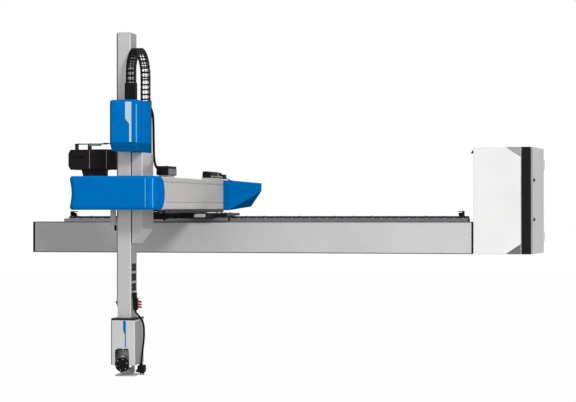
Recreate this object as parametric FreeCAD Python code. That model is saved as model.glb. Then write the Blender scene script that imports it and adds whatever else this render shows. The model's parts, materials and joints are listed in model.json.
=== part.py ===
import FreeCAD, Part
import math
import os

V = FreeCAD.Vector

# Three-axis gantry robot. X runs along the traverse beam, Y runs back over it, Z is up.
# The origin is the middle of the traverse beam's underside, where it is bolted down.

# Running gap between pieces that move past each other, and a shaft's radial gap in its bore
GAP = 0.5
BORE_GAP = 0.05

# Traverse beam, a square steel tube
BEAM_LENGTH = 3000.0
BEAM_DEPTH = 200.0
BEAM_HEIGHT = 210.0
BEAM_WALL = 8.0
BEAM_CORNER = 9.0
END_CAP = 6.0
FOOT_HOLE = 9.0
FOOT_PITCH_X = 400.0
FOOT_PITCH_Y = 120.0

# Linear rails and their guide blocks, one size for the traverse and one for the other axes
RAIL_WIDTH = 23.0
RAIL_HEIGHT = 22.0
RAIL_FROM_EDGE = 35.0
RAIL_START = 210.0
RAIL_END_MARGIN = 25.0
BLOCK_LENGTH = 110.0
BLOCK_WIDTH = 66.0
BLOCK_HEIGHT = 34.0
SMALL_RAIL_WIDTH = 15.0
SMALL_RAIL_HEIGHT = 14.0
SMALL_BLOCK_LENGTH = 70.0
SMALL_BLOCK_WIDTH = 44.0
SMALL_BLOCK_HEIGHT = 20.0

# Toothed racks and pinions, by module and tooth count
TOOTH_MODULE = 3.0
RACK_BACK = 12.0
RACK_WIDTH = 20.0
TRACK_PINION_TEETH = 14
ARM_PINION_TEETH = 18
PINION_WIDTH = 12.0
SHAFT_RADIUS = 9.0

# Carriage on the traverse beam
CARRIAGE_X = -408.0
CARRIAGE_LENGTH = 560.0
CARRIAGE_DEPTH = 270.0
PLATE = 18.0

# Demoulding beam, an aluminium extrusion that slides over the carriage
CROSS_WIDTH = 155.0
CROSS_HEIGHT = 206.0
CROSS_FRONT = -960.0
CROSS_REAR = 640.0
CROSS_WALL = 8.0
SLOT_WIDTH = 8.0
SLOT_DEPTH = 4.0
SLOT_LOW = 46.0
SLOT_HIGH = 173.0

# Vertical arm, seen from the front as a plain extrusion left of the demoulding beam
ARM_WIDTH = 87.0
ARM_DEPTH = 132.0
ARM_WALL = 6.0
ARM_TOP = 1394.0
ARM_BOTTOM = -378.0
ARM_SIDE_GAP = 53.0

# Head bracket that guides the arm
HEAD_BOTTOM = 80.0
HEAD_TOP = 650.0
HEAD_DEPTH = 180.0
HEAD_WALL = 10.0
HEAD_CHAMFER = 90.0
HEAD_SIDE_GAP = 6.0

# Blue covers
COVER_WALL = 4.0
FRONT_COVER_LEFT = -882.0
FRONT_COVER_FACE = -1160.0
FRONT_COVER_LAP = 34.0
FRONT_COVER_CORNER = 45.0
UPPER_COVER_LEFT = -665.0
UPPER_COVER_RIGHT = -460.0
UPPER_COVER_FRONT = -1082.0
UPPER_COVER_REAR = -782.0
UPPER_COVER_TOP = 972.0
UPPER_COVER_BEVEL_X = 41.0
UPPER_COVER_BEVEL_Y = 97.0
UPPER_COVER_CUT = 45.0
REAR_COVER_END = 960.0
REAR_COVER_FLARE = 190.0

# Cable chains
CHAIN_PITCH = 31.0
CHAIN_WIDTH = 60.0
CHAIN_HEIGHT = 34.0
CHAIN_RADIUS = 155.0
CHAIN_CENTRE_Z = 1134.0
CHAIN_FRONT_Y = -1050.0
CHAIN_X = -507.0

# Wrist below the arm
WRIST_WIDTH = 152.0
WRIST_DEPTH = 200.0
WRIST_HEIGHT = 298.0
WRIST_WALL = 3.0
WRIST_PLATE = 12.0
SWIVEL_Z = -715.0
SWIVEL_RADIUS = 18.0
FLANGE_WIDTH = 124.0
FLANGE_DEPTH = 116.0
FLANGE_THICKNESS = 10.0
FLANGE_DROP = 24.0
FLANGE_HOLE = 4.5
FLANGE_PITCH = 80.0

# Control cabinet at the right-hand end
CABINET_GAP = 13.0
CABINET_WIDTH = 306.0
CABINET_BAND = 64.0
CABINET_DEPTH = 450.0
CABINET_HEIGHT = 695.0
CABINET_TAPER = 46.0
CABINET_CUT_X = 100.0
CABINET_CUT_Z = 66.0
SHEET = 2.0
PANEL = 12.0

# Places worked out from the sizes above
HALF_BEAM = BEAM_LENGTH / 2
FRONT_FACE = -BEAM_DEPTH / 2
RAIL_Y = BEAM_DEPTH / 2 - RAIL_FROM_EDGE
RAIL_LEFT = -HALF_BEAM + RAIL_START
RAIL_RIGHT = HALF_BEAM - RAIL_END_MARGIN
BLOCK_FLOOR = 6.0
PLATE_Z = BEAM_HEIGHT + BLOCK_FLOOR + BLOCK_HEIGHT
PLATE_TOP = PLATE_Z + PLATE
CROSS_Z = PLATE_TOP + SMALL_BLOCK_HEIGHT + 3.0
CROSS_TOP = CROSS_Z + CROSS_HEIGHT
CROSS_LEFT = CARRIAGE_X - CROSS_WIDTH / 2
CROSS_RIGHT = CARRIAGE_X + CROSS_WIDTH / 2
CROSS_RAIL_X = CROSS_WIDTH / 2 - 22.5
REAR_COVER_LAP = 60.0
CROSS_RAIL_END = CROSS_REAR - REAR_COVER_LAP - 5.0
ARM_RIGHT = CROSS_LEFT - ARM_SIDE_GAP
ARM_LEFT = ARM_RIGHT - ARM_WIDTH
ARM_X = (ARM_LEFT + ARM_RIGHT) / 2
ARM_FRONT = CROSS_FRONT
ARM_REAR = ARM_FRONT + ARM_DEPTH
ARM_RAIL_X = ARM_RIGHT - 22.0
HEAD_FRONT = ARM_REAR + SMALL_BLOCK_HEIGHT + 3.0
HEAD_LEFT = ARM_LEFT + RACK_WIDTH + HEAD_SIDE_GAP
HEAD_REAR = HEAD_FRONT + HEAD_DEPTH
CROSS_RAIL_START = HEAD_REAR + 10.0
TRACK_PITCH_RADIUS = TOOTH_MODULE * TRACK_PINION_TEETH / 2
ARM_PITCH_RADIUS = TOOTH_MODULE * ARM_PINION_TEETH / 2
RACK_PITCH = math.pi * TOOTH_MODULE
DRIVE_Z = 610.0
DRIVE_Y = ARM_REAR + RACK_BACK + ARM_PITCH_RADIUS
FRONT_COVER_BOTTOM = CROSS_Z
FRONT_COVER_TOP = CROSS_TOP + 3.0
CHAIN_REAR_Y = CHAIN_FRONT_Y + 2 * CHAIN_RADIUS
CABINET_LEFT = HALF_BEAM + CABINET_GAP
CABINET_FACE_RIGHT = CABINET_LEFT + CABINET_WIDTH
CABINET_RIGHT = CABINET_FACE_RIGHT + CABINET_BAND
CABINET_FRONT = FRONT_FACE
CABINET_BACK = CABINET_FRONT + CABINET_DEPTH
BAND_Y = CABINET_FRONT + 20.0

# Racks and pinions of the traverse and demoulding axes
TRAVERSE_RACK_Z = PLATE_Z - 3.0
TRAVERSE_PINION_X = CARRIAGE_X - CARRIAGE_LENGTH / 2 + 60.0
TRAVERSE_RACK_Y = RAIL_Y - BLOCK_WIDTH / 2 - RACK_BACK - 1.0
TRAVERSE_PINION_Y = TRAVERSE_RACK_Y - TRACK_PITCH_RADIUS
CROSS_PINION_Y = 190.0
CROSS_RACK_X = CARRIAGE_X + 12.0
CROSS_PINION_X = CROSS_RACK_X - TRACK_PITCH_RADIUS
CARRIAGE_REAR = CROSS_PINION_Y + 60.0

# Bumpers and end stops of the traverse
STOP_THICKNESS = 12.0
STOP_WIDTH = 60.0
STOP_HEIGHT = 66.0
BUMPER_RADIUS = 11.0
BUMPER_LENGTH = 26.0
STOP_LEFT_X = RAIL_LEFT + 41.0
STOP_RIGHT_X = RAIL_RIGHT - 43.0
BUMPER_Z = PLATE_Z + PLATE / 2

# Head bracket: its rear step and the column the arm's rails stand on
BRACKET_RIGHT = CROSS_LEFT
HEAD_STEP = -715.0
COLUMN_LEFT = ARM_RIGHT + 5.5
COLUMN_RIGHT = BRACKET_RIGHT + 21.5
COLUMN_FRONT = ARM_FRONT + 10.0

# Arm caps, blanking plates in its front windows and its side strip
ARM_CAP = 6.0
WINDOW_HEIGHT = 46.0
WINDOW_PITCH = 62.0
WINDOW_FIRST = -216.0
SIDE_STRIP = 2.5

# Arm drive: plate beside the arm and its motor
DRIVE_PLATE = 10.0
DRIVE_PLATE_GAP = 4.0
DRIVE_PLATE_X = ARM_LEFT - DRIVE_PLATE_GAP - DRIVE_PLATE
DRIVE_HALF = 66.0
ARM_MOTOR_LENGTH = 350.0
ARM_MOTOR_SQUARE = 128.0
ARM_MOTOR_RADIUS = 68.0

# Frame plates behind the front cover, left of the arm
FRAME_SHEET = 8.0
FRAME_LEFT = FRONT_COVER_LEFT + 24.0
FRAME_FRONT = FRONT_COVER_FACE + COVER_WALL
FRAME_REAR = ARM_REAR + 40.0
SHELF_Z = CROSS_TOP - 32.0
LOW_SHELF_Z = CROSS_Z + 24.0
MOTOR_FOOT_X = -803.0
MOTOR_FOOT_WIDTH = 122.0
TRAY_Z = DRIVE_Z + ARM_MOTOR_SQUARE / 2 + 34.0
TRAY_LEFT = -955.0
TRAY_RIGHT = -755.0

# Upper frame that carries the upper cover and guides the chain
UPPER_POST = 8.0
GUIDE_GAP = 0.5
GUIDE_WALL = 4.0
GUIDE_TOP = 1075.0
GUIDE_BOTTOM = 930.0
TROUGH_TOP = 985.0
CHAIN_LEFT = CHAIN_X - CHAIN_WIDTH / 2
CHAIN_RIGHT = CHAIN_X + CHAIN_WIDTH / 2

# Cable chain links
LINK_GAP = 0.6
FRONT_LEG_LINKS = 9
REAR_LEG_LINKS = 6
ARCH_LINKS = 16

# Boxes on the demoulding beam, as width, length and height
CONNECTOR_BOX = (78.0, 200.0, 58.0)
VALVE_BOX = (70.0, 336.0, 60.0)

# Wrist: cover, window, swivel ears and round actuator
WRIST_LEFT = ARM_X - WRIST_WIDTH / 2 + 6.0
WRIST_RIGHT = WRIST_LEFT + WRIST_WIDTH
WRIST_FRONT = ARM_FRONT - 45.0
WRIST_REAR = WRIST_FRONT + WRIST_DEPTH
WRIST_TOP = ARM_BOTTOM - ARM_CAP
WRIST_BOTTOM = WRIST_TOP - WRIST_HEIGHT + 6.0
WINDOW_HALF = 46.0
WINDOW_TOP = WRIST_BOTTOM + 100.0
SWIVEL_Y = (ARM_FRONT + ARM_REAR) / 2
EAR = 13.0
EAR_SPAN = 64.0
DISC_RADIUS = 45.0
DISC_THICKNESS = 26.0
DISC_Z = -672.0

# Hose beside the wrist and the air fittings
HOSE_RADIUS = 7.0
HOSE_OUT = 8.0
HOSE_Y = SWIVEL_Y - 22.0
GLAND_Z = -268.0
PLUG_TOP = -668.0
FITTING_COUNT = 3

# Cabinet door, hinges and latches
DOOR_ANGLE = math.atan2(CABINET_TAPER, CABINET_BACK - BAND_Y)
DOOR_LENGTH = (CABINET_BACK - BAND_Y) / math.cos(DOOR_ANGLE)
HINGE_RADIUS = 6.0
HINGE_PIN = 3.0
KNUCKLE = 22.0
LATCH_HEIGHTS = (225.0, 480.0)
LATCH_IN = 34.0
LATCH_RADIUS = 9.0
HINGE_HEIGHTS = (110.0, 585.0)

# Traverse and demoulding motors
MOTOR_SQUARE = 90.0
MOTOR_RADIUS = 52.0
TRAVERSE_MOTOR_LENGTH = 200.0
CROSS_MOTOR_LENGTH = 180.0

# Counts and places of the small fittings
CONNECTOR_FROM_FRONT = 130.0
VALVES_FROM_REAR = 400.0
VALVE_COUNT = 6
WINDOW_CORNER = 14.0
CORE_HALF = 40.0
DRIVE_REACH = 200.0
DRIVES_FOOT = 330.0
DRIVES_TOP = 600.0
RELAY_COUNT = 4


def box(x0, x1, y0, y1, z0, z1):
    return Part.makeBox(x1 - x0, y1 - y0, z1 - z0, V(x0, y0, z0))


def cyl(axis, centre, radius, length):
    """A cylinder that starts at centre and runs along axis."""
    return Part.makeCylinder(radius, length, V(*centre), V(*axis))


def prism(points, direction):
    """A solid swept from a flat outline of points."""
    ring = [V(*p) for p in points]
    face = Part.Face(Part.makePolygon(ring + ring[:1]))
    return face.extrude(V(*direction))


def cut_all(body, tools):
    return body.cut(Part.makeCompound(tools)) if tools else body


def moved(shape, x, y, z):
    copy = shape.copy()
    copy.translate(V(x, y, z))
    return copy


def export(name, shapes):
    """Write one node: a single solid or a group of separate solids."""
    found = []
    for shape in shapes if isinstance(shapes, list) else [shapes]:
        found.extend(shape.Solids)
    for solid in found:
        if not solid.isValid() or solid.Volume <= 0:
            raise RuntimeError(name + " has a bad solid")
    whole = found[0] if len(found) == 1 else Part.makeCompound(found)
    whole.exportStep("parts/" + name + ".step")


def edges_along(shape, axis):
    """Straight edges that run along axis 0, 1 or 2."""
    chosen = []
    for edge in shape.Edges:
        if len(edge.Vertexes) < 2 or not isinstance(edge.Curve, Part.Line):
            continue
        run = edge.Vertexes[1].Point - edge.Vertexes[0].Point
        if abs(run[axis]) > 0.999 * run.Length:
            chosen.append(edge)
    return chosen


def rounded_box(x0, x1, y0, y1, z0, z1, radius, axis):
    solid = box(x0, x1, y0, y1, z0, z1)
    return solid.makeFillet(radius, edges_along(solid, axis))


def rack_teeth(start, length, direction, side, place, width):
    """A rack along direction with its teeth towards side, and place on its pitch line."""
    count = int(length / RACK_PITCH)
    root = -1.25 * TOOTH_MODULE
    points = [V(0, -RACK_BACK, 0), V(0, root, 0)]
    for i in range(count):
        for share, height in ((0.22, root), (0.36, TOOTH_MODULE), (0.64, TOOTH_MODULE), (0.78, root)):
            points.append(V((i + share) * RACK_PITCH, height, 0))
    end = count * RACK_PITCH
    points.append(V(end, root, 0))
    points.append(V(end, -RACK_BACK, 0))
    face = Part.Face(Part.makePolygon(points + points[:1]))
    bar = face.extrude(V(0, 0, width))
    return placed(bar, direction, side, V(*place) + V(*direction) * start)


def placed(shape, local_x, local_y, place):
    """Put a shape with its own X and Y along the given directions."""
    x = V(*local_x)
    y = V(*local_y)
    turned = shape.copy()
    turned.Placement = FreeCAD.Placement(V(*place), FreeCAD.Rotation(x, y, x.cross(y), "ZXY"))
    return turned


def rack_start(first, meeting):
    """The first place past first that keeps a gap between teeth centred at meeting."""
    return meeting - int((meeting - first) / RACK_PITCH) * RACK_PITCH


def pinion(teeth, width, bore):
    """A toothed wheel about Z with one tooth centred on its own +X."""
    outline = []
    pitch_radius = TOOTH_MODULE * teeth / 2
    step = 2 * math.pi / teeth
    root = pitch_radius - 1.25 * TOOTH_MODULE
    tip = pitch_radius + 0.9 * TOOTH_MODULE
    for i in range(teeth):
        for share, radius in ((-0.24, root), (-0.10, tip), (0.10, tip), (0.24, root)):
            angle = (i + share) * step
            outline.append((radius * math.cos(angle), radius * math.sin(angle), 0))
    wheel = prism(outline, (0, 0, width))
    return wheel.cut(cyl((0, 0, 1), (0, 0, 0), bore, width))


def traverse_beam():
    beam = rounded_box(-HALF_BEAM, HALF_BEAM, FRONT_FACE, -FRONT_FACE, 0, BEAM_HEIGHT, BEAM_CORNER, 0)
    inner = box(-HALF_BEAM, HALF_BEAM, FRONT_FACE + BEAM_WALL, -FRONT_FACE - BEAM_WALL,
                BEAM_WALL, BEAM_HEIGHT - BEAM_WALL)
    holes = []
    for sx in (-1, 1):
        for sy in (-1, 1):
            centre = (sx * FOOT_PITCH_X / 2, sy * FOOT_PITCH_Y / 2, 0)
            holes.append(cyl((0, 0, 1), centre, FOOT_HOLE, BEAM_WALL))
    return cut_all(beam.cut(inner), holes)


def end_plate(x0, x1):
    return rounded_box(x0, x1, FRONT_FACE, -FRONT_FACE, 0, BEAM_HEIGHT, BEAM_CORNER, 0)


def traverse_rails():
    rails = []
    for sy in (-1, 1):
        y = sy * RAIL_Y
        rail = box(RAIL_LEFT, RAIL_RIGHT, y - RAIL_WIDTH / 2, y + RAIL_WIDTH / 2,
                   BEAM_HEIGHT, BEAM_HEIGHT + RAIL_HEIGHT)
        grooves = []
        for side in (-1, 1):
            edge = y + side * RAIL_WIDTH / 2
            grooves.append(box(RAIL_LEFT, RAIL_RIGHT, edge - 3, edge + 3,
                               BEAM_HEIGHT + 9, BEAM_HEIGHT + 14))
        rails.append(rail.cut(Part.makeCompound(grooves)))
    return rails


def guide_block(length, width, height, rail_width, rail_height, floor):
    """A block about its own X with a channel below that its rail runs in."""
    block = box(-length / 2, length / 2, -width / 2, width / 2, 0, height)
    channel_width = rail_width / 2 + GAP
    channel = box(-length / 2, length / 2, -channel_width, channel_width, 0, rail_height - floor + GAP)
    return block.cut(channel)


def carriage_blocks():
    blocks = []
    for sx in (-1, 1):
        for sy in (-1, 1):
            block = guide_block(BLOCK_LENGTH, BLOCK_WIDTH, BLOCK_HEIGHT, RAIL_WIDTH, RAIL_HEIGHT,
                                BLOCK_FLOOR)
            x = CARRIAGE_X + sx * (CARRIAGE_LENGTH - BLOCK_LENGTH) / 2
            blocks.append(moved(block, x, sy * RAIL_Y, BEAM_HEIGHT + BLOCK_FLOOR))
    return blocks


def traverse_rack():
    start = rack_start(RAIL_LEFT, TRAVERSE_PINION_X)
    place = (0, TRAVERSE_RACK_Y, TRAVERSE_RACK_Z)
    height = TRAVERSE_RACK_Z - BEAM_HEIGHT
    return rack_teeth(start, RAIL_RIGHT - start, (1, 0, 0), (0, -1, 0), place, height)


def carriage_plate():
    plate = rounded_box(CARRIAGE_X - CARRIAGE_LENGTH / 2, CARRIAGE_X + CARRIAGE_LENGTH / 2,
                        -CARRIAGE_DEPTH / 2, CARRIAGE_REAR, PLATE_Z, PLATE_TOP, 12.0, 2)
    bore = SHAFT_RADIUS + BORE_GAP
    shaft_hole = cyl((0, 0, 1), (TRAVERSE_PINION_X, TRAVERSE_PINION_Y, PLATE_Z), bore, PLATE)
    cross_hole = cyl((0, 0, 1), (CROSS_PINION_X, CROSS_PINION_Y, PLATE_Z), bore, PLATE)
    return plate.cut(shaft_hole).cut(cross_hole)


def cross_blocks():
    """Blocks on the carriage that face up and hold the rails under the demoulding beam."""
    blocks = []
    for sx in (-1, 1):
        for sy in (-1, 1):
            block = guide_block(SMALL_BLOCK_LENGTH, SMALL_BLOCK_WIDTH, SMALL_BLOCK_HEIGHT,
                                SMALL_RAIL_WIDTH, SMALL_RAIL_HEIGHT, 3.0)
            turned = placed(block, (0, 1, 0), (1, 0, 0), (0, 0, 0))
            y = sy * (CARRIAGE_DEPTH - SMALL_BLOCK_LENGTH) / 2
            blocks.append(moved(turned, CARRIAGE_X + sx * CROSS_RAIL_X, y, PLATE_TOP + SMALL_BLOCK_HEIGHT))
    return blocks


def cross_rails():
    rails = []
    for sx in (-1, 1):
        x = CARRIAGE_X + sx * CROSS_RAIL_X
        half = SMALL_RAIL_WIDTH / 2
        rails.append(box(x - half, x + half, CROSS_RAIL_START, CROSS_RAIL_END, CROSS_Z - SMALL_RAIL_HEIGHT,
                         CROSS_Z))
    return rails


def cross_rack():
    start = rack_start(CROSS_RAIL_START, CROSS_PINION_Y)
    place = (CROSS_RACK_X, 0, CROSS_Z - SMALL_RAIL_HEIGHT)
    length = CROSS_RAIL_END - start
    return rack_teeth(start, length, (0, 1, 0), (-1, 0, 0), place, SMALL_RAIL_HEIGHT)


def motor(radius, length, square):
    """A servo motor about its own Z: gearbox at 0, square body, ribbed end and connector."""
    gearbox = cyl((0, 0, 1), (0, 0, 8), radius * 0.9, length * 0.3)
    flange = rounded_box(-square / 2, square / 2, -square / 2, square / 2, 0, 8, 6.0, 2)
    body = rounded_box(-square / 2, square / 2, -square / 2, square / 2,
                       length * 0.3, length * 0.86, square * 0.14, 2)
    cap = cyl((0, 0, 1), (0, 0, length * 0.86), radius * 0.86, length * 0.14)
    return flange.fuse(gearbox).fuse(body).fuse(cap).removeSplitter()


def stop_brackets():
    """A foot and an upright at each end of the traverse's front rail."""
    out = []
    for x, inward in ((STOP_LEFT_X, 1), (STOP_RIGHT_X, -1)):
        x0 = min(x, x - inward * STOP_THICKNESS)
        upright = box(x0, x0 + STOP_THICKNESS, -STOP_WIDTH / 2, STOP_WIDTH / 2,
                      TRAVERSE_RACK_Z + GAP, BEAM_HEIGHT + STOP_HEIGHT)
        foot = box(x0, x0 + STOP_THICKNESS, TRAVERSE_RACK_Y + RACK_BACK + GAP, RAIL_Y - RAIL_WIDTH / 2 - GAP,
                   BEAM_HEIGHT, TRAVERSE_RACK_Z + GAP)
        out.append(upright.fuse(foot).removeSplitter())
    return out


def bumpers():
    out = []
    for x, inward in ((STOP_LEFT_X, 1), (STOP_RIGHT_X, -1)):
        out.append(cyl((inward, 0, 0), (x, 0, BUMPER_Z), BUMPER_RADIUS, BUMPER_LENGTH))
    return out


def cross_beam():
    beam = box(CROSS_LEFT, CROSS_RIGHT, CROSS_FRONT, CROSS_REAR, CROSS_Z, CROSS_TOP)
    beam = beam.makeFillet(6.0, edges_along(beam, 1))
    inner = box(CROSS_LEFT + CROSS_WALL, CROSS_RIGHT - CROSS_WALL, CROSS_FRONT, CROSS_REAR,
                CROSS_Z + CROSS_WALL, CROSS_TOP - CROSS_WALL)
    slots = [inner]
    for height in (SLOT_LOW, SLOT_HIGH):
        for edge in (CROSS_LEFT, CROSS_RIGHT):
            slots.append(box(edge - SLOT_DEPTH, edge + SLOT_DEPTH, CROSS_FRONT, CROSS_REAR,
                             CROSS_Z + height - SLOT_WIDTH / 2, CROSS_Z + height + SLOT_WIDTH / 2))
    return beam.cut(Part.makeCompound(slots))


def head_bracket():
    """The hollow bracket beside the demoulding beam that carries the arm's guide blocks."""
    outline = [(HEAD_LEFT, HEAD_FRONT, HEAD_BOTTOM),
               (COLUMN_LEFT, HEAD_FRONT, HEAD_BOTTOM),
               (COLUMN_RIGHT, HEAD_FRONT, HEAD_BOTTOM + HEAD_CHAMFER),
               (COLUMN_RIGHT, HEAD_FRONT, HEAD_TOP),
               (HEAD_LEFT, HEAD_FRONT, HEAD_TOP)]
    body = prism(outline, (0, HEAD_DEPTH, 0))
    column = [(COLUMN_LEFT, COLUMN_FRONT, HEAD_BOTTOM),
              (COLUMN_RIGHT, COLUMN_FRONT, HEAD_BOTTOM + HEAD_CHAMFER),
              (COLUMN_RIGHT, COLUMN_FRONT, HEAD_TOP),
              (COLUMN_LEFT, COLUMN_FRONT, HEAD_TOP)]
    body = body.fuse(prism(column, (0, HEAD_FRONT - COLUMN_FRONT, 0)))
    beam_seat = box(BRACKET_RIGHT, COLUMN_RIGHT, COLUMN_FRONT, HEAD_REAR, CROSS_Z, CROSS_TOP)
    body = body.cut(beam_seat).removeSplitter()
    for z0, z1 in ((HEAD_BOTTOM, CROSS_Z), (CROSS_TOP, HEAD_TOP)):
        body = body.cut(box(HEAD_LEFT, COLUMN_RIGHT, HEAD_STEP, HEAD_REAR, z0, z1))
    left = HEAD_LEFT + HEAD_WALL
    right = BRACKET_RIGHT - HEAD_WALL
    step = HEAD_STEP - HEAD_WALL
    well = box(left, right, HEAD_FRONT + HEAD_WALL, step, HEAD_BOTTOM + HEAD_CHAMFER + HEAD_WALL, HEAD_TOP)
    rear_well = box(left, right, step, HEAD_REAR - HEAD_WALL, CROSS_Z + HEAD_WALL, CROSS_TOP - HEAD_WALL)
    well = well.fuse(rear_well)
    bore = cyl((1, 0, 0), (HEAD_LEFT, DRIVE_Y, DRIVE_Z), SHAFT_RADIUS + BORE_GAP, HEAD_WALL)
    return body.cut(well).cut(bore)


def arm_blocks():
    """Four blocks on the bracket's front that hold the rail on the arm's back."""
    blocks = []
    count = 4
    for i in range(count):
        z = HEAD_BOTTOM + 50 + i * (HEAD_TOP - HEAD_BOTTOM - 100) / (count - 1)
        block = guide_block(SMALL_BLOCK_LENGTH, SMALL_BLOCK_WIDTH, SMALL_BLOCK_HEIGHT,
                            SMALL_RAIL_WIDTH, SMALL_RAIL_HEIGHT, 3.0)
        turned = placed(block, (0, 0, 1), (1, 0, 0), (0, 0, 0))
        blocks.append(moved(turned, ARM_RAIL_X, HEAD_FRONT - SMALL_BLOCK_HEIGHT, z))
    return blocks


def arm_profile():
    arm = box(ARM_LEFT, ARM_RIGHT, ARM_FRONT, ARM_REAR, ARM_BOTTOM, ARM_TOP)
    arm = arm.makeFillet(5.0, edges_along(arm, 2))
    inner = box(ARM_LEFT + ARM_WALL, ARM_RIGHT - ARM_WALL, ARM_FRONT + ARM_WALL, ARM_REAR - ARM_WALL,
                ARM_BOTTOM, ARM_TOP)
    return arm.cut(inner)


def arm_rail():
    return box(ARM_RAIL_X - SMALL_RAIL_WIDTH / 2, ARM_RAIL_X + SMALL_RAIL_WIDTH / 2,
               ARM_REAR, ARM_REAR + SMALL_RAIL_HEIGHT, ARM_BOTTOM + 5, ARM_TOP - 5)


def arm_rack():
    start = rack_start(ARM_BOTTOM + 25, DRIVE_Z)
    place = (ARM_LEFT + RACK_WIDTH, ARM_REAR + RACK_BACK, 0)
    teeth = rack_teeth(start, ARM_TOP - 10 - start, (0, 0, 1), (0, 1, 0), place, RACK_WIDTH)
    return teeth


def arm_end_caps():
    top = box(ARM_LEFT, ARM_RIGHT, ARM_FRONT, ARM_REAR, ARM_TOP, ARM_TOP + ARM_CAP)
    top = top.makeFillet(5.0, edges_along(top, 2))
    foot = box(ARM_LEFT, ARM_RIGHT, ARM_FRONT, ARM_REAR, ARM_BOTTOM - ARM_CAP, ARM_BOTTOM)
    return [top, foot]


def arm_side_plates():
    """Blanking plates over the service windows in the arm's right side."""
    plates = []
    for i in range(3):
        z = WINDOW_FIRST + i * WINDOW_PITCH
        plates.append(box(ARM_RIGHT, ARM_RIGHT + SIDE_STRIP, ARM_FRONT + 25, ARM_REAR - 25,
                          z, z + WINDOW_HEIGHT))
    return plates


def drive_plate():
    """Plate left of the arm that carries the arm's motor, with its spacer to the bracket."""
    plate = rounded_box(DRIVE_PLATE_X, DRIVE_PLATE_X + DRIVE_PLATE, DRIVE_Y - DRIVE_HALF,
                        DRIVE_Y + DRIVE_HALF + 20, DRIVE_Z - DRIVE_HALF, DRIVE_Z + DRIVE_HALF, 8.0, 0)
    spacer = box(DRIVE_PLATE_X + DRIVE_PLATE, HEAD_LEFT, DRIVE_Y + 50, DRIVE_Y + DRIVE_HALF + 20,
                 DRIVE_Z - DRIVE_HALF, DRIVE_Z + DRIVE_HALF - 24)
    bore = cyl((1, 0, 0), (DRIVE_PLATE_X, DRIVE_Y, DRIVE_Z), SHAFT_RADIUS + BORE_GAP, DRIVE_PLATE)
    return plate.fuse(spacer).removeSplitter().cut(bore)


def arm_motor():
    body = motor(ARM_MOTOR_RADIUS, ARM_MOTOR_LENGTH, ARM_MOTOR_SQUARE)
    bore = cyl((0, 0, 1), (0, 0, 0), SHAFT_RADIUS + BORE_GAP, 22)
    return placed(body.cut(bore), (0, 0, 1), (0, 1, 0), (DRIVE_PLATE_X, DRIVE_Y, DRIVE_Z))


def arm_pinion():
    wheel = pinion(ARM_PINION_TEETH, PINION_WIDTH, SHAFT_RADIUS)
    x = ARM_LEFT + 4.0
    toothed = placed(wheel, (0, -1, 0), (0, 0, -1), (x, DRIVE_Y, DRIVE_Z))
    return toothed


def drive_shaft(axis, centre, length):
    return cyl(axis, centre, SHAFT_RADIUS, length)


def frame_shelf(z):
    """A plate from the bracket round the left of the arm to the back of the front cover."""
    left = ARM_LEFT - 10.0
    corner = FRONT_COVER_CORNER
    outline = [(FRAME_LEFT + corner, FRAME_FRONT, z), (CROSS_RIGHT - corner, FRAME_FRONT, z),
               (CROSS_RIGHT - corner, FRAME_FRONT + 40, z), (left, FRAME_FRONT + 40, z),
               (left, HEAD_FRONT + 10, z), (HEAD_LEFT, HEAD_FRONT + 10, z),
               (HEAD_LEFT, HEAD_FRONT + 120, z), (left - 20, HEAD_FRONT + 120, z),
               (left - 60, FRAME_REAR, z), (FRAME_LEFT, FRAME_REAR, z),
               (FRAME_LEFT, FRAME_FRONT + corner, z)]
    return prism(outline, (0, 0, FRAME_SHEET))


def motor_foot():
    """The pedestal that props the arm's motor on the upper shelf."""
    half = MOTOR_FOOT_WIDTH / 2
    top = DRIVE_Z - ARM_MOTOR_SQUARE / 2
    y = DRIVE_Y - 40.0
    outline = [(MOTOR_FOOT_X - half * 0.8, y, SHELF_Z + FRAME_SHEET),
               (MOTOR_FOOT_X + half, y, SHELF_Z + FRAME_SHEET),
               (MOTOR_FOOT_X + half, y, top),
               (MOTOR_FOOT_X - half, y, top),
               (MOTOR_FOOT_X - half, y, top - 20)]
    return prism(outline, (0, 44, 0))


def motor_tray():
    """A cable plate on two posts over the arm's motor."""
    plate = box(TRAY_LEFT, TRAY_RIGHT, DRIVE_Y - 30, DRIVE_Y + 30, TRAY_Z, TRAY_Z + 5)
    left = box(TRAY_LEFT, TRAY_LEFT + 12, DRIVE_Y - 20, DRIVE_Y + 20, DRIVE_Z + 40, TRAY_Z)
    right = box(TRAY_LEFT + 85, TRAY_LEFT + 99, DRIVE_Y - 20, DRIVE_Y + 20, DRIVE_Z + 40, TRAY_Z)
    whole = plate.fuse(left).fuse(right).removeSplitter()
    return whole.cut(arm_motor())


def front_cover():
    """The deep blue fascia over the head, open at the back and partly open above and below."""
    right = CROSS_RIGHT + COVER_WALL
    lap = CROSS_FRONT + FRONT_COVER_LAP
    outer = box(FRONT_COVER_LEFT, right, FRONT_COVER_FACE, lap, FRONT_COVER_BOTTOM, FRONT_COVER_TOP)
    upright = edges_along(outer, 2)
    front = [e for e in upright if e.Vertexes[0].Point.y < FRONT_COVER_FACE + 1]
    outer = outer.makeFillet(FRONT_COVER_CORNER, front)
    inner = box(FRONT_COVER_LEFT + COVER_WALL, CROSS_RIGHT, FRAME_FRONT, lap,
                FRONT_COVER_BOTTOM, FRONT_COVER_TOP)
    hollow = edges_along(inner, 2)
    front = [e for e in hollow if e.Vertexes[0].Point.y < FRAME_FRONT + 1]
    inner = inner.makeFillet(FRONT_COVER_CORNER - COVER_WALL, front)
    return outer.cut(inner)


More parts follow.
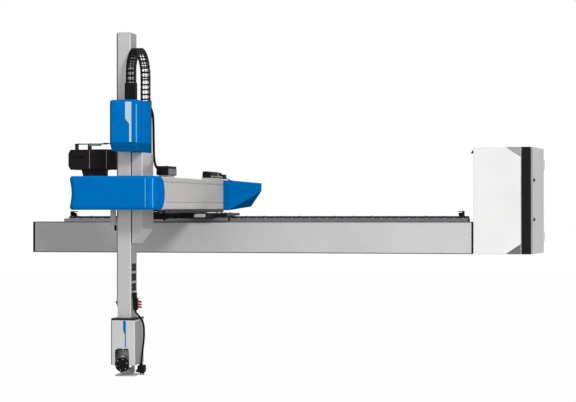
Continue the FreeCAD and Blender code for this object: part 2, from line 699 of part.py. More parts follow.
def upper_cover_outline(inset, z):
    left = UPPER_COVER_LEFT + inset
    right = UPPER_COVER_RIGHT - inset
    front = UPPER_COVER_FRONT + inset
    return [(left, UPPER_COVER_REAR, z), (left, front + UPPER_COVER_BEVEL_Y, z),
            (left + UPPER_COVER_BEVEL_X, front, z), (right, front, z), (right, UPPER_COVER_REAR, z)]


def upper_cover():
    """The tall blue cover round the arm above the head, open at its back, top and bottom."""
    height = UPPER_COVER_TOP - HEAD_TOP
    shell = prism(upper_cover_outline(0, HEAD_TOP), (0, 0, height))
    hollow = prism(upper_cover_outline(COVER_WALL, HEAD_TOP), (0, 0, height))
    shell = shell.cut(hollow)
    cut = UPPER_COVER_CUT
    left = UPPER_COVER_LEFT
    y = UPPER_COVER_FRONT - 1
    outline = [(left - 1, y, HEAD_TOP - 1), (left + cut, y, HEAD_TOP - 1), (left - 1, y, HEAD_TOP + cut)]
    corner = prism(outline, (0, UPPER_COVER_REAR - UPPER_COVER_FRONT + 100, 0))
    return shell.cut(corner)


def channel(front, back, bottom, top, open_front):
    """A U-shaped channel round one leg of the chain."""
    x0 = CHAIN_LEFT - GUIDE_GAP - GUIDE_WALL
    x1 = CHAIN_RIGHT + GUIDE_GAP + GUIDE_WALL
    outer = box(x0, x1, front - GUIDE_WALL, back + GUIDE_WALL, bottom, top)
    y0 = front - GUIDE_WALL if open_front else front
    y1 = back if open_front else back + GUIDE_WALL
    return outer.cut(box(x0 + GUIDE_WALL, x1 - GUIDE_WALL, y0, y1, bottom, top))


def chain_guide():
    """Channel for the chain's front leg, with its tie to the right wall of the upper cover."""
    front = CHAIN_FRONT_Y - CHAIN_HEIGHT / 2 - GUIDE_GAP
    back = CHAIN_FRONT_Y + CHAIN_HEIGHT / 2 + GUIDE_GAP
    guide = channel(front, back, GUIDE_BOTTOM, GUIDE_TOP, False)
    x1 = CHAIN_RIGHT + GUIDE_GAP
    tie = box(x1, UPPER_COVER_RIGHT - COVER_WALL, front, back, GUIDE_BOTTOM, UPPER_COVER_TOP - 6)
    return guide.fuse(tie).removeSplitter()


def chain_trough():
    """Channel for the chain's rear leg, standing on the bracket."""
    front = CHAIN_REAR_Y - CHAIN_HEIGHT / 2 - GUIDE_GAP
    back = CHAIN_REAR_Y + CHAIN_HEIGHT / 2 + GUIDE_GAP
    trough = channel(front, back, HEAD_TOP, TROUGH_TOP, True)
    x0 = CHAIN_LEFT - GUIDE_GAP
    floor = box(x0, CHAIN_RIGHT + GUIDE_GAP, front, back, HEAD_TOP, HEAD_TOP + GUIDE_WALL)
    return trough.fuse(floor).removeSplitter()


def upper_frame():
    """Sheet posts from the bracket's top to both side walls of the upper cover."""
    y0 = HEAD_FRONT + 2.0
    y1 = y0 + UPPER_POST
    top = UPPER_COVER_TOP - 62
    left_wall = UPPER_COVER_LEFT + COVER_WALL
    foot = box(HEAD_LEFT, BRACKET_RIGHT, y0, y1, HEAD_TOP, HEAD_TOP + 60)
    right = box(CHAIN_LEFT - 12, UPPER_COVER_RIGHT - COVER_WALL, y0, y1, HEAD_TOP + 30, top)
    left = box(left_wall, HEAD_LEFT, y0, y1, HEAD_TOP + 30, HEAD_TOP + 60)
    return foot.fuse(right).fuse(left).removeSplitter()


def link(pitch):
    """One chain link: two side cheeks joined by two crossbars with a window between."""
    half = CHAIN_WIDTH / 2
    body = box(-half, half, -CHAIN_HEIGHT / 2, CHAIN_HEIGHT / 2, -pitch / 2, pitch / 2)
    window = box(-half + 8, half - 8, -CHAIN_HEIGHT / 2, CHAIN_HEIGHT / 2, -pitch * 0.28, pitch * 0.28)
    duct = box(-half + 8, half - 8, -CHAIN_HEIGHT / 2 + 5, CHAIN_HEIGHT / 2 - 5, -pitch / 2, pitch / 2)
    return body.cut(window).cut(duct)


def arm_chain():
    """The arm's cable chain as separate links along two legs and an arch between them."""
    links = []
    one = link(CHAIN_PITCH - LINK_GAP)
    for i in range(FRONT_LEG_LINKS):
        z = CHAIN_CENTRE_Z - (i + 0.5) * CHAIN_PITCH
        links.append(moved(one, CHAIN_X, CHAIN_FRONT_Y, z))
    for i in range(REAR_LEG_LINKS):
        z = CHAIN_CENTRE_Z - (i + 0.5) * CHAIN_PITCH
        links.append(moved(one, CHAIN_X, CHAIN_REAR_Y, z))
    centre = V(CHAIN_X, CHAIN_FRONT_Y + CHAIN_RADIUS, CHAIN_CENTRE_Z)
    turn = math.pi / ARCH_LINKS
    inner_edge = 2 * (CHAIN_RADIUS - CHAIN_HEIGHT / 2) * math.tan(turn / 2)
    arch_link = link(inner_edge - LINK_GAP)
    for i in range(ARCH_LINKS):
        angle = (i + 0.5) * turn
        out = V(0, -math.cos(angle), math.sin(angle))
        links.append(placed(arch_link, (1, 0, 0), tuple(V(0, 0, 0) - out), centre + out * CHAIN_RADIUS))
    return links


def rear_cover_rings():
    """The faceted blue cover over the rear end, flared to the right and left."""
    z0 = CROSS_Z - 6.0
    z1 = CROSS_TOP + 4.0
    front = CROSS_REAR - REAR_COVER_LAP
    mid = CROSS_REAR + 40.0
    left = CROSS_LEFT - COVER_WALL
    right = CROSS_RIGHT + COVER_WALL
    far_right = right + REAR_COVER_FLARE
    far_left = left - REAR_COVER_FLARE * 0.5
    front_ring = [(left, front, z0), (right, front, z0), (right, front, z0 + 12), (right, front, z1),
                  (left, front, z1)]
    mid_ring = [(left - 6, mid, z0), (right + 12, mid, z0), (right + 12, mid, z0 + 12),
                (right + 12, mid, z1), (left - 6, mid, z1)]
    rear_ring = [(far_left + 40, REAR_COVER_END, z0 + 26), (far_right - 80, REAR_COVER_END, z0 + 26),
                 (far_right, REAR_COVER_END, z1 - 76), (far_right, REAR_COVER_END, z1 - 18),
                 (far_left, REAR_COVER_END, z1 - 18)]
    return front_ring, mid_ring, rear_ring


def ring_solid(rings):
    """A closed faceted solid through rings of four corners each."""
    faces = []
    def add(points):
        ring = [V(*p) for p in points]
        faces.append(Part.Face(Part.makePolygon(ring + ring[:1])))
    add(rings[0])
    add(rings[-1])
    for a, b in zip(rings[:-1], rings[1:]):
        for i in range(len(a)):
            j = (i + 1) % len(a)
            add([a[i], a[j], b[j]])
            add([a[i], b[j], b[i]])
    solid = Part.makeSolid(Part.makeShell(faces))
    return solid if solid.Volume > 0 else solid.reversed()


def shrunk(ring, inset, y):
    """A ring drawn in towards its middle in X and Z, at another Y."""
    cx = sum(p[0] for p in ring) / len(ring)
    cz = sum(p[2] for p in ring) / len(ring)
    return [(p[0] + math.copysign(inset, cx - p[0]), y, p[2] + math.copysign(inset, cz - p[2]))
            for p in ring]


def rear_cover_shell():
    rings = rear_cover_rings()
    outer = ring_solid(rings)
    y0 = rings[0][0][1]
    y1 = rings[1][0][1]
    inner = ring_solid([shrunk(rings[0], COVER_WALL, y0), shrunk(rings[1], COVER_WALL, y1),
                        shrunk(rings[2], COVER_WALL * 3, REAR_COVER_END - COVER_WALL * 2)])
    return outer.cut(inner)


def rear_plate():
    """End plate on the demoulding beam that the rear cover is screwed to."""
    return box(CROSS_LEFT, CROSS_RIGHT, CROSS_REAR, CROSS_REAR + 10, CROSS_Z, CROSS_TOP)


def connector_box():
    x, y, z = CONNECTOR_BOX
    left = CROSS_RIGHT - x - 2
    y0 = CROSS_FRONT + CONNECTOR_FROM_FRONT
    foot = box(left + 10, left + x - 10, y0 + 20, y0 + y - 20, CROSS_TOP, CROSS_TOP + 12)
    case = rounded_box(left, left + x, y0, y0 + y, CROSS_TOP + 12, CROSS_TOP + 12 + z, 6.0, 2)
    return case.fuse(foot).removeSplitter()


def valve_block():
    x, y, z = VALVE_BOX
    left = CROSS_RIGHT - x - 2
    y0 = CROSS_REAR - VALVES_FROM_REAR
    base = box(left, left + x, y0, y0 + y, CROSS_TOP, CROSS_TOP + 14)
    valves = []
    slot = (y - 12) / VALVE_COUNT
    for i in range(VALVE_COUNT):
        start = y0 + 6 + i * slot
        valves.append(box(left + 6, left + x - 6, start, start + slot - 2,
                          CROSS_TOP + 14, CROSS_TOP + z))
    return base, valves


def wrist_plate():
    """Adapter plate under the arm that closes the wrist's top."""
    z = WRIST_TOP - WRIST_PLATE
    return box(WRIST_LEFT, WRIST_RIGHT, WRIST_FRONT, WRIST_REAR, z, WRIST_TOP)


def wrist_cover():
    top = WRIST_TOP - WRIST_PLATE
    shell = box(WRIST_LEFT, WRIST_RIGHT, WRIST_FRONT, WRIST_REAR, WRIST_BOTTOM, top)
    shell = shell.makeFillet(8.0, edges_along(shell, 2))
    hollow = box(WRIST_LEFT + WRIST_WALL, WRIST_RIGHT - WRIST_WALL, WRIST_FRONT + WRIST_WALL,
                 WRIST_REAR - WRIST_WALL, WRIST_BOTTOM, top)
    window = box(ARM_X - WINDOW_HALF, ARM_X + WINDOW_HALF, WRIST_FRONT - 10, WRIST_FRONT + WRIST_WALL + 6,
                 WRIST_BOTTOM - 20, WINDOW_TOP)
    corners = [e for e in edges_along(window, 1) if e.Vertexes[0].Point.z > WINDOW_TOP - 1]
    window = window.makeFillet(WINDOW_CORNER, corners)
    return shell.cut(hollow).cut(window)


def wrist_block():
    """The wrist's body: a block under the adapter plate with two ears for the swivel shaft."""
    top = WRIST_TOP - WRIST_PLATE
    core_bottom = SWIVEL_Z + SWIVEL_RADIUS + FLANGE_DEPTH / 2 + 6
    half = EAR_SPAN / 2 + EAR
    core = box(ARM_X - half, ARM_X + half, SWIVEL_Y - CORE_HALF, SWIVEL_Y + CORE_HALF, core_bottom, top)
    ears = []
    for side in (-1, 1):
        x = ARM_X + side * (EAR_SPAN + EAR) / 2 - EAR / 2
        leg = box(x, x + EAR, SWIVEL_Y - SWIVEL_RADIUS, SWIVEL_Y + SWIVEL_RADIUS, SWIVEL_Z, core_bottom)
        ears.append(leg.fuse(cyl((1, 0, 0), (x, SWIVEL_Y, SWIVEL_Z), SWIVEL_RADIUS, EAR)))
    block = core.fuse(ears[0]).fuse(ears[1]).removeSplitter()
    bore = cyl((1, 0, 0), (ARM_X - EAR_SPAN, SWIVEL_Y, SWIVEL_Z), SHAFT_RADIUS + BORE_GAP, 2 * EAR_SPAN)
    return block.cut(bore)


def wrist_actuator():
    """Round black actuator in the wrist cover's front window, on its mounting neck."""
    disc = cyl((0, -1, 0), (ARM_X, WRIST_FRONT + 20, DISC_Z), DISC_RADIUS, DISC_THICKNESS)
    neck = cyl((0, -1, 0), (ARM_X, SWIVEL_Y - CORE_HALF, DISC_Z + 40), 14.0,
               SWIVEL_Y - CORE_HALF - WRIST_FRONT - 20)
    return disc.fuse(neck).removeSplitter()


def tool_flange():
    """Tool plate with its hub, which the swivel shaft carries."""
    z = SWIVEL_Z - FLANGE_DROP - FLANGE_THICKNESS
    plate = rounded_box(ARM_X - FLANGE_WIDTH / 2, ARM_X + FLANGE_WIDTH / 2, SWIVEL_Y - FLANGE_DEPTH / 2,
                        SWIVEL_Y + FLANGE_DEPTH / 2, z, z + FLANGE_THICKNESS, 8.0, 2)
    half = EAR_SPAN / 2 - 2 * GAP
    hub = cyl((1, 0, 0), (ARM_X - half, SWIVEL_Y, SWIVEL_Z), SWIVEL_RADIUS - 1, 2 * half)
    web = box(ARM_X - half, ARM_X + half, SWIVEL_Y - SWIVEL_RADIUS + 1, SWIVEL_Y + SWIVEL_RADIUS - 1,
              z + FLANGE_THICKNESS, SWIVEL_Z)
    holes = [cyl((1, 0, 0), (ARM_X - half, SWIVEL_Y, SWIVEL_Z), SHAFT_RADIUS, 2 * half)]
    for sx in (-1, 1):
        for sy in (-1, 1):
            centre = (ARM_X + sx * FLANGE_PITCH / 2, SWIVEL_Y + sy * FLANGE_PITCH / 2, z)
            holes.append(cyl((0, 0, 1), centre, FLANGE_HOLE, FLANGE_THICKNESS))
    return cut_all(plate.fuse(hub).fuse(web).removeSplitter(), holes)


def swivel_shaft():
    length = EAR_SPAN + 2 * EAR + 6
    return cyl((1, 0, 0), (ARM_X - length / 2, SWIVEL_Y, SWIVEL_Z), SHAFT_RADIUS, length)


def tube_along(points, radius):
    """A round tube on straight runs joined by tangent arcs."""
    stops = [V(*p) for p in points]
    edges = []
    start = stops[0]
    for i in range(1, len(stops) - 1):
        before = (stops[i] - stops[i - 1]).normalize()
        after = (stops[i + 1] - stops[i]).normalize()
        turn = before.getAngle(after)
        shorter = min((stops[i] - stops[i - 1]).Length, (stops[i + 1] - stops[i]).Length)
        reach = 0.45 * shorter
        bend = reach / math.tan(turn / 2)
        a = stops[i] - before * reach
        b = stops[i] + after * reach
        inward = (after - before).normalize()
        middle = stops[i] + inward * (bend / math.cos(turn / 2) - bend)
        edges.append(Part.LineSegment(start, a).toShape())
        edges.append(Part.Arc(a, middle, b).toShape())
        start = b
    edges.append(Part.LineSegment(start, stops[-1]).toShape())
    path = Part.Wire(edges)
    profile = Part.Wire([Part.makeCircle(radius, stops[0], stops[1] - stops[0])])
    return path.makePipeShell([profile], True, False)


def hose_route():
    x = ARM_RIGHT + HOSE_OUT
    y = HOSE_Y
    far = WRIST_RIGHT + 36.0
    return [(x, y, GLAND_Z - 20), (x, y, GLAND_Z - 72), (x + 39, y, GLAND_Z - 112),
            (far - 4, y, GLAND_Z - 150), (far, y, GLAND_Z - 212), (far - 5, y, GLAND_Z - 277),
            (far - 14, y, GLAND_Z - 337), (far - 20, y, PLUG_TOP)]


def hose_gland():
    x = ARM_RIGHT + HOSE_OUT
    body = box(ARM_RIGHT, x + 16, HOSE_Y - 14, HOSE_Y + 14, GLAND_Z, GLAND_Z + 40)
    nut = cyl((0, 0, -1), (x, HOSE_Y, GLAND_Z), HOSE_OUT, 20)
    return body.fuse(nut).removeSplitter()


def tool_connector():
    """Multi-pin plug block low on the wrist's right side, where the hose ends."""
    x, y, z = hose_route()[-1]
    block = rounded_box(WRIST_RIGHT, x + 22, y - 30, y + 30, z - 56, z - 12, 4.0, 1)
    lean = V(x, y, z) - V(*hose_route()[-2])
    collar = cyl(tuple(lean), (x, y, z), HOSE_RADIUS + 4, 16)
    return block.fuse(collar).removeSplitter()


def air_fittings():
    """Quarter-inch quick connectors that stand out of the arm's right side in a row."""
    out = []
    for i in range(FITTING_COUNT):
        z = GLAND_Z - 48 + i * 17
        start = (ARM_RIGHT, SWIVEL_Y + 20, z)
        barrel = cyl((1, 0, 0), start, 6.0, 24)
        sleeve = cyl((1, 0, 0), (ARM_RIGHT + 24, SWIVEL_Y + 20, z), 4.5, 22)
        out.append(barrel.fuse(sleeve).removeSplitter())
    return out


def cabinet_outline(z):
    return [(CABINET_LEFT, CABINET_BACK, z), (CABINET_LEFT, CABINET_FRONT + PANEL, z),
            (CABINET_FACE_RIGHT, CABINET_FRONT + PANEL, z), (CABINET_RIGHT, BAND_Y, z),
            (CABINET_RIGHT + CABINET_TAPER, CABINET_BACK, z)]


def cabinet_body():
    """Sheet-metal case, open on the right where the door closes it."""
    case = prism(cabinet_outline(0), (0, 0, CABINET_HEIGHT))
    inner = prism([(CABINET_LEFT + SHEET, CABINET_BACK - SHEET, SHEET),
                   (CABINET_LEFT + SHEET, CABINET_FRONT + PANEL + SHEET, SHEET),
                   (CABINET_FACE_RIGHT, CABINET_FRONT + PANEL + SHEET, SHEET),
                   (CABINET_RIGHT - 12, BAND_Y + SHEET, SHEET),
                   (CABINET_RIGHT + 2 * CABINET_TAPER, BAND_Y + 40, SHEET),
                   (CABINET_RIGHT + 2 * CABINET_TAPER, CABINET_BACK - 40, SHEET),
                   (CABINET_RIGHT, CABINET_BACK - SHEET, SHEET)], (0, 0, CABINET_HEIGHT - 2 * SHEET))
    return case.cut(inner)


def cabinet_front():
    """White front panel with its two right-hand corners cut away."""
    y = CABINET_FRONT
    outline = [(CABINET_LEFT, y, 0), (CABINET_FACE_RIGHT - CABINET_CUT_X, y, 0),
               (CABINET_FACE_RIGHT, y, CABINET_CUT_Z),
               (CABINET_FACE_RIGHT, y, CABINET_HEIGHT - CABINET_CUT_Z),
               (CABINET_FACE_RIGHT - CABINET_CUT_X, y, CABINET_HEIGHT), (CABINET_LEFT, y, CABINET_HEIGHT)]
    return prism(outline, (0, PANEL, 0))


def cabinet_band():
    """Black strip on the slanted face between the front panel and the door."""
    a = (CABINET_FACE_RIGHT + 3, CABINET_FRONT + PANEL, 0)
    b = (CABINET_RIGHT, BAND_Y, 0)
    return prism([a, b, (b[0], b[1] - 7, 0), (a[0], a[1] - 7, 0)], (0, 0, CABINET_HEIGHT))


def door_place(along, out, z):
    """A point on the door: along it from its front edge, and out from the case."""
    sx = math.sin(DOOR_ANGLE)
    cx = math.cos(DOOR_ANGLE)
    return (CABINET_RIGHT + along * sx + out * cx, BAND_Y + along * cx - out * sx, z)


def cabinet_door():
    outline = [door_place(2, GAP, 1), door_place(DOOR_LENGTH, GAP, 1),
               door_place(DOOR_LENGTH, GAP + PANEL, 1), door_place(2, GAP + PANEL, 1)]
    door = prism(outline, (0, 0, CABINET_HEIGHT - 2))
    normal = (math.cos(DOOR_ANGLE), -math.sin(DOOR_ANGLE), 0)
    holes = [cyl(normal, door_place(LATCH_IN, 0, z), LATCH_RADIUS + BORE_GAP, PANEL + 2)
             for z in LATCH_HEIGHTS]
    return cut_all(door, holes)


HINGE_PLACE = door_place(DOOR_LENGTH + HINGE_RADIUS, GAP + PANEL, 0)


def hinge_knuckle(z, radius_hole):
    x, y, _ = HINGE_PLACE
    return cyl((0, 0, 1), (x, y, z), HINGE_RADIUS, KNUCKLE), cyl((0, 0, 1), (x, y, z), radius_hole, KNUCKLE)


def door_hinge_leaves():
    """Middle knuckle of each hinge, with a leaf on the door's outer face."""
    out = []
    for z in HINGE_HEIGHTS:
        barrel, hole = hinge_knuckle(z - KNUCKLE / 2, HINGE_PIN + BORE_GAP)
        outline = [door_place(DOOR_LENGTH - 34, GAP + PANEL, z - KNUCKLE / 2),
                   door_place(DOOR_LENGTH + HINGE_RADIUS, GAP + PANEL, z - KNUCKLE / 2),
                   door_place(DOOR_LENGTH + HINGE_RADIUS, GAP + PANEL + 4, z - KNUCKLE / 2),
                   door_place(DOOR_LENGTH - 34, GAP + PANEL + 4, z - KNUCKLE / 2)]
        leaf = prism(outline, (0, 0, KNUCKLE))
        out.append(barrel.fuse(leaf).removeSplitter().cut(hole))
    return out


def body_hinge_leaves():
    """Upper and lower knuckles of each hinge on one leaf behind the case."""
    out = []
    x, y, _ = HINGE_PLACE
    for z in HINGE_HEIGHTS:
        leaf = box(x - 50, x - HINGE_RADIUS - 1, CABINET_BACK, CABINET_BACK + 4,
                   z - 1.5 * KNUCKLE - GAP, z + 1.5 * KNUCKLE + GAP)
        for low in (z - 1.5 * KNUCKLE - GAP, z + 0.5 * KNUCKLE + GAP):
            barrel, hole = hinge_knuckle(low, HINGE_PIN)
            arm = box(x - HINGE_RADIUS - 2, x, CABINET_BACK + 1, CABINET_BACK + 4, low, low + KNUCKLE)
            leaf = leaf.fuse(barrel).fuse(arm).cut(hole)
        out.append(leaf.removeSplitter())
    return out


def hinge_pins():
    x, y, _ = HINGE_PLACE
    length = 3 * KNUCKLE + 2 * GAP
    return [cyl((0, 0, 1), (x, y, z - length / 2), HINGE_PIN, length) for z in HINGE_HEIGHTS]


def door_latch(z):
    """A quarter-turn latch: round body through the door with a head and a wing to turn it by."""
    normal = V(math.cos(DOOR_ANGLE), -math.sin(DOOR_ANGLE), 0)
    along = V(math.sin(DOOR_ANGLE), math.cos(DOOR_ANGLE), 0)
    start = V(*door_place(LATCH_IN, -4, z))
    length = 4 + GAP + PANEL + BORE_GAP
    body = cyl(tuple(normal), tuple(start), LATCH_RADIUS, length)
    head = cyl(tuple(normal), tuple(start + normal * length), LATCH_RADIUS + 4, 4)
    wing = box(-4, 4, -11, 11, 0, 6)
    wing = placed(wing, (0, 0, -1), tuple(along), tuple(start + normal * (length + 4)))
    return body.fuse(head).fuse(wing).removeSplitter()


def cabinet_inside():
    plate_x = CABINET_LEFT + SHEET
    y0 = CABINET_FRONT + PANEL + 60
    plate = box(plate_x, plate_x + 5, y0, CABINET_BACK - 50, 60, CABINET_HEIGHT - 60)
    drives = []
    for i in range(3):
        y = y0 + 12 + i * 72
        drives.append(rounded_box(plate_x + 5, plate_x + 5 + DRIVE_REACH, y, y + 62, DRIVES_FOOT,
                                  DRIVES_TOP, 5.0, 0))
    supply = box(plate_x + 5, plate_x + 150, y0 + 12, y0 + 172, 100, 260)
    relays = []
    for i in range(RELAY_COUNT):
        y = y0 + 184 + i * 24
        relays.append(box(plate_x + 5, plate_x + 85, y, y + 20, 130, 220))
    return plate, drives, supply, relays


def cabinet_bracket():
    """Spacer that bolts the cabinet to the traverse beam's end."""
    return box(HALF_BEAM + END_CAP, CABINET_LEFT, FRONT_FACE + 20, -FRONT_FACE - 20, 20, BEAM_HEIGHT - 20)


def cabinet_lug():
    x = CABINET_LEFT
    z = CABINET_HEIGHT
    y = CABINET_FRONT + 40
    return prism([(x, y, z - 8), (x, y, z - 40), (x - 22, y, z - 40)], (0, 8, 0))


def build():
    os.makedirs("parts", exist_ok=True)
    export("traverse_beam", traverse_beam())
    export("left_end_cap", end_plate(-HALF_BEAM - END_CAP, -HALF_BEAM))
    export("traverse_rails", traverse_rails())
    export("traverse_rack", traverse_rack())
    export("end_stop_brackets", stop_brackets())
    export("end_stop_bumpers", bumpers())
    export("carriage_plate", carriage_plate())
    export("carriage_guide_blocks", carriage_blocks())
    export("cross_guide_blocks", cross_blocks())
    up = motor(MOTOR_RADIUS, TRAVERSE_MOTOR_LENGTH, MOTOR_SQUARE)
    bore = cyl((0, 0, 1), (0, 0, 0), SHAFT_RADIUS + BORE_GAP, 22)
    export("traverse_motor", moved(up.cut(bore), TRAVERSE_PINION_X, TRAVERSE_PINION_Y, PLATE_TOP))
    down = motor(MOTOR_RADIUS, CROSS_MOTOR_LENGTH, MOTOR_SQUARE).cut(bore)
    export("cross_motor", placed(down, (1, 0, 0), (0, -1, 0), (CROSS_PINION_X, CROSS_PINION_Y, PLATE_Z)))
    wheel = pinion(TRACK_PINION_TEETH, PINION_WIDTH, SHAFT_RADIUS)
    low = TRAVERSE_RACK_Z - PINION_WIDTH
    place = (TRAVERSE_PINION_X, TRAVERSE_PINION_Y, low)
    toothed = placed(wheel, (0, 1, 0), (-1, 0, 0), place)
    export("traverse_pinion", [toothed, drive_shaft((0, 0, 1), place, PLATE_TOP + 20 - low)])
    place = (CROSS_PINION_X, CROSS_PINION_Y, CROSS_Z - SMALL_RAIL_HEIGHT)
    toothed = placed(wheel, (1, 0, 0), (0, 1, 0), place)
    top = CROSS_Z - SMALL_RAIL_HEIGHT + PINION_WIDTH
    place = (CROSS_PINION_X, CROSS_PINION_Y, PLATE_Z - 20)
    export("cross_pinion", [toothed, drive_shaft((0, 0, 1), place, top - place[2])])

    export("demoulding_beam", cross_beam())
    export("demoulding_rails", cross_rails())
    export("demoulding_rack", cross_rack())
    export("head_bracket", head_bracket())
    export("arm_guide_blocks", arm_blocks())
    export("arm_drive_plate", drive_plate())
    export("arm_motor", arm_motor())
    export("motor_supports", [motor_tray(), motor_foot()])
    export("head_shelves", [frame_shelf(SHELF_Z), frame_shelf(LOW_SHELF_Z)])
    export("front_cover", front_cover())
    export("upper_cover", upper_cover())
    export("upper_frame", upper_frame())
    export("chain_guide", chain_guide())
    export("chain_trough", chain_trough())
    export("connector_box", connector_box())
    base, valves = valve_block()
    export("valve_block", [base] + valves)
    export("rear_end_plate", rear_plate())
    export("rear_cover", rear_cover_shell())
    start = (DRIVE_PLATE_X - 20, DRIVE_Y, DRIVE_Z)
    shaft = drive_shaft((1, 0, 0), start, HEAD_LEFT + HEAD_WALL - start[0])
    export("arm_pinion", [arm_pinion(), shaft])

    export("arm_profile", arm_profile())
    export("arm_rail", arm_rail())
    export("arm_rack", arm_rack())
    export("arm_end_caps", arm_end_caps())
    export("arm_side_plates", arm_side_plates())
    export("wrist_plate", wrist_plate())
    export("wrist_cover", wrist_cover())
    export("wrist_block", wrist_block())
    export("wrist_actuator", wrist_actuator())
    export("hose_gland", hose_gland())
    export("wrist_hose", tube_along(hose_route(), HOSE_RADIUS))
    export("tool_connector", tool_connector())
    export("air_fittings", air_fittings())
    export("swivel_shaft", swivel_shaft())
    export("tool_flange", tool_flange())
    export("arm_chain", arm_chain())

    export("cabinet_body", cabinet_body())
    export("cabinet_front_panel", cabinet_front())
    export("cabinet_band", cabinet_band())
    export("cabinet_door", cabinet_door())
    plate, drives, supply, relays = cabinet_inside()
    export("cabinet_mounting_plate", [plate, supply])
    export("servo_drives", drives + relays)
    export("cabinet_hinges", body_hinge_leaves() + hinge_pins())
    export("cabinet_door_leaves", door_hinge_leaves())
    right_cap = end_plate(HALF_BEAM, HALF_BEAM + END_CAP)
    export("cabinet_bracket", [right_cap, cabinet_bracket(), cabinet_lug()])
    export("upper_door_latch", door_latch(LATCH_HEIGHTS[1]))
    export("lower_door_latch", door_latch(LATCH_HEIGHTS[0]))


build()
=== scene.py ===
import json
import math

import bmesh
import bpy
from mathutils import Matrix, Vector


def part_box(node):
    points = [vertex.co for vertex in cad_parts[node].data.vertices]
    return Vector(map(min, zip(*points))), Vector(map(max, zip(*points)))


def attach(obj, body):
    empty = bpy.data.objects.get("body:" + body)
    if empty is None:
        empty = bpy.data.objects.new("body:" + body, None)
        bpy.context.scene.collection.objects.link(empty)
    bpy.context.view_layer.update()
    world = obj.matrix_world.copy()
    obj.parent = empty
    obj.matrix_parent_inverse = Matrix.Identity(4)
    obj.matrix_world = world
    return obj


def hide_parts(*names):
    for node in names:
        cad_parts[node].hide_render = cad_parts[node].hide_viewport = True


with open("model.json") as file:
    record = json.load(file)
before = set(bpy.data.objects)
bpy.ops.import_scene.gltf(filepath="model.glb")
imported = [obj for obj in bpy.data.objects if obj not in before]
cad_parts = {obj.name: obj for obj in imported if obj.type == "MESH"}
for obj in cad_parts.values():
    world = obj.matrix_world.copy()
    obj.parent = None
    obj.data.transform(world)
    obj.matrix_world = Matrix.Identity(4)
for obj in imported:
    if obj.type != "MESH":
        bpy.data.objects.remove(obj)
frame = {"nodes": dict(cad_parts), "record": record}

bl_info = {
    "name": "Gantry robot looks",
    "version": (1, 0, 0),
    "blender": (4, 5, 0),
    "location": "3D View > Sidebar > Gantry robot",
    "description": "Builds the visible pieces of a three-axis gantry robot round its packed frame",
    "category": "Object",
}

MM = 0.001
RECORD = frame["record"]
BODY_OF = {node: body for body, nodes in RECORD["behaviour"]["bodies"].items() for node in nodes}
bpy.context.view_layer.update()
X = Vector((1, 0, 0))
Y = Vector((0, 1, 0))
Z = Vector((0, 0, 1))

# Names of the finishes that several pieces share
UPRIGHT = "anodised aluminium, upright"
SHADED_SIDE_ALUMINIUM = "anodised aluminium, grooved"
MILLED = "milled aluminium"
EDGE_HIGHLIGHT = "polished edge"
RAIL = "ground rail steel"
RACK = "hardened rack steel"
OXIDE = "black oxide steel"
CAST = "cast black housing"
BLACK = "moulded black nylon"
RUBBER = "nitrile rubber"
BLUE = "gloss blue ABS"
SHADED_BLUE = "etched blue ABS"
HIGHLIGHT_BEAD = "bright blue bead"
LIGHT_GREY = "light grey powder coat"
PAINTED_SHADE_GREY = "grey side enamel"
DEEP_SHADE_GREY = "dark grey enamel"
NICKEL = "nickel plated brass"
SCREW = "zinc plated screw"
GREEN = "green terminal plastic"
ORANGE = "orange brown plastic"
DRIVE = "grey drive plastic"

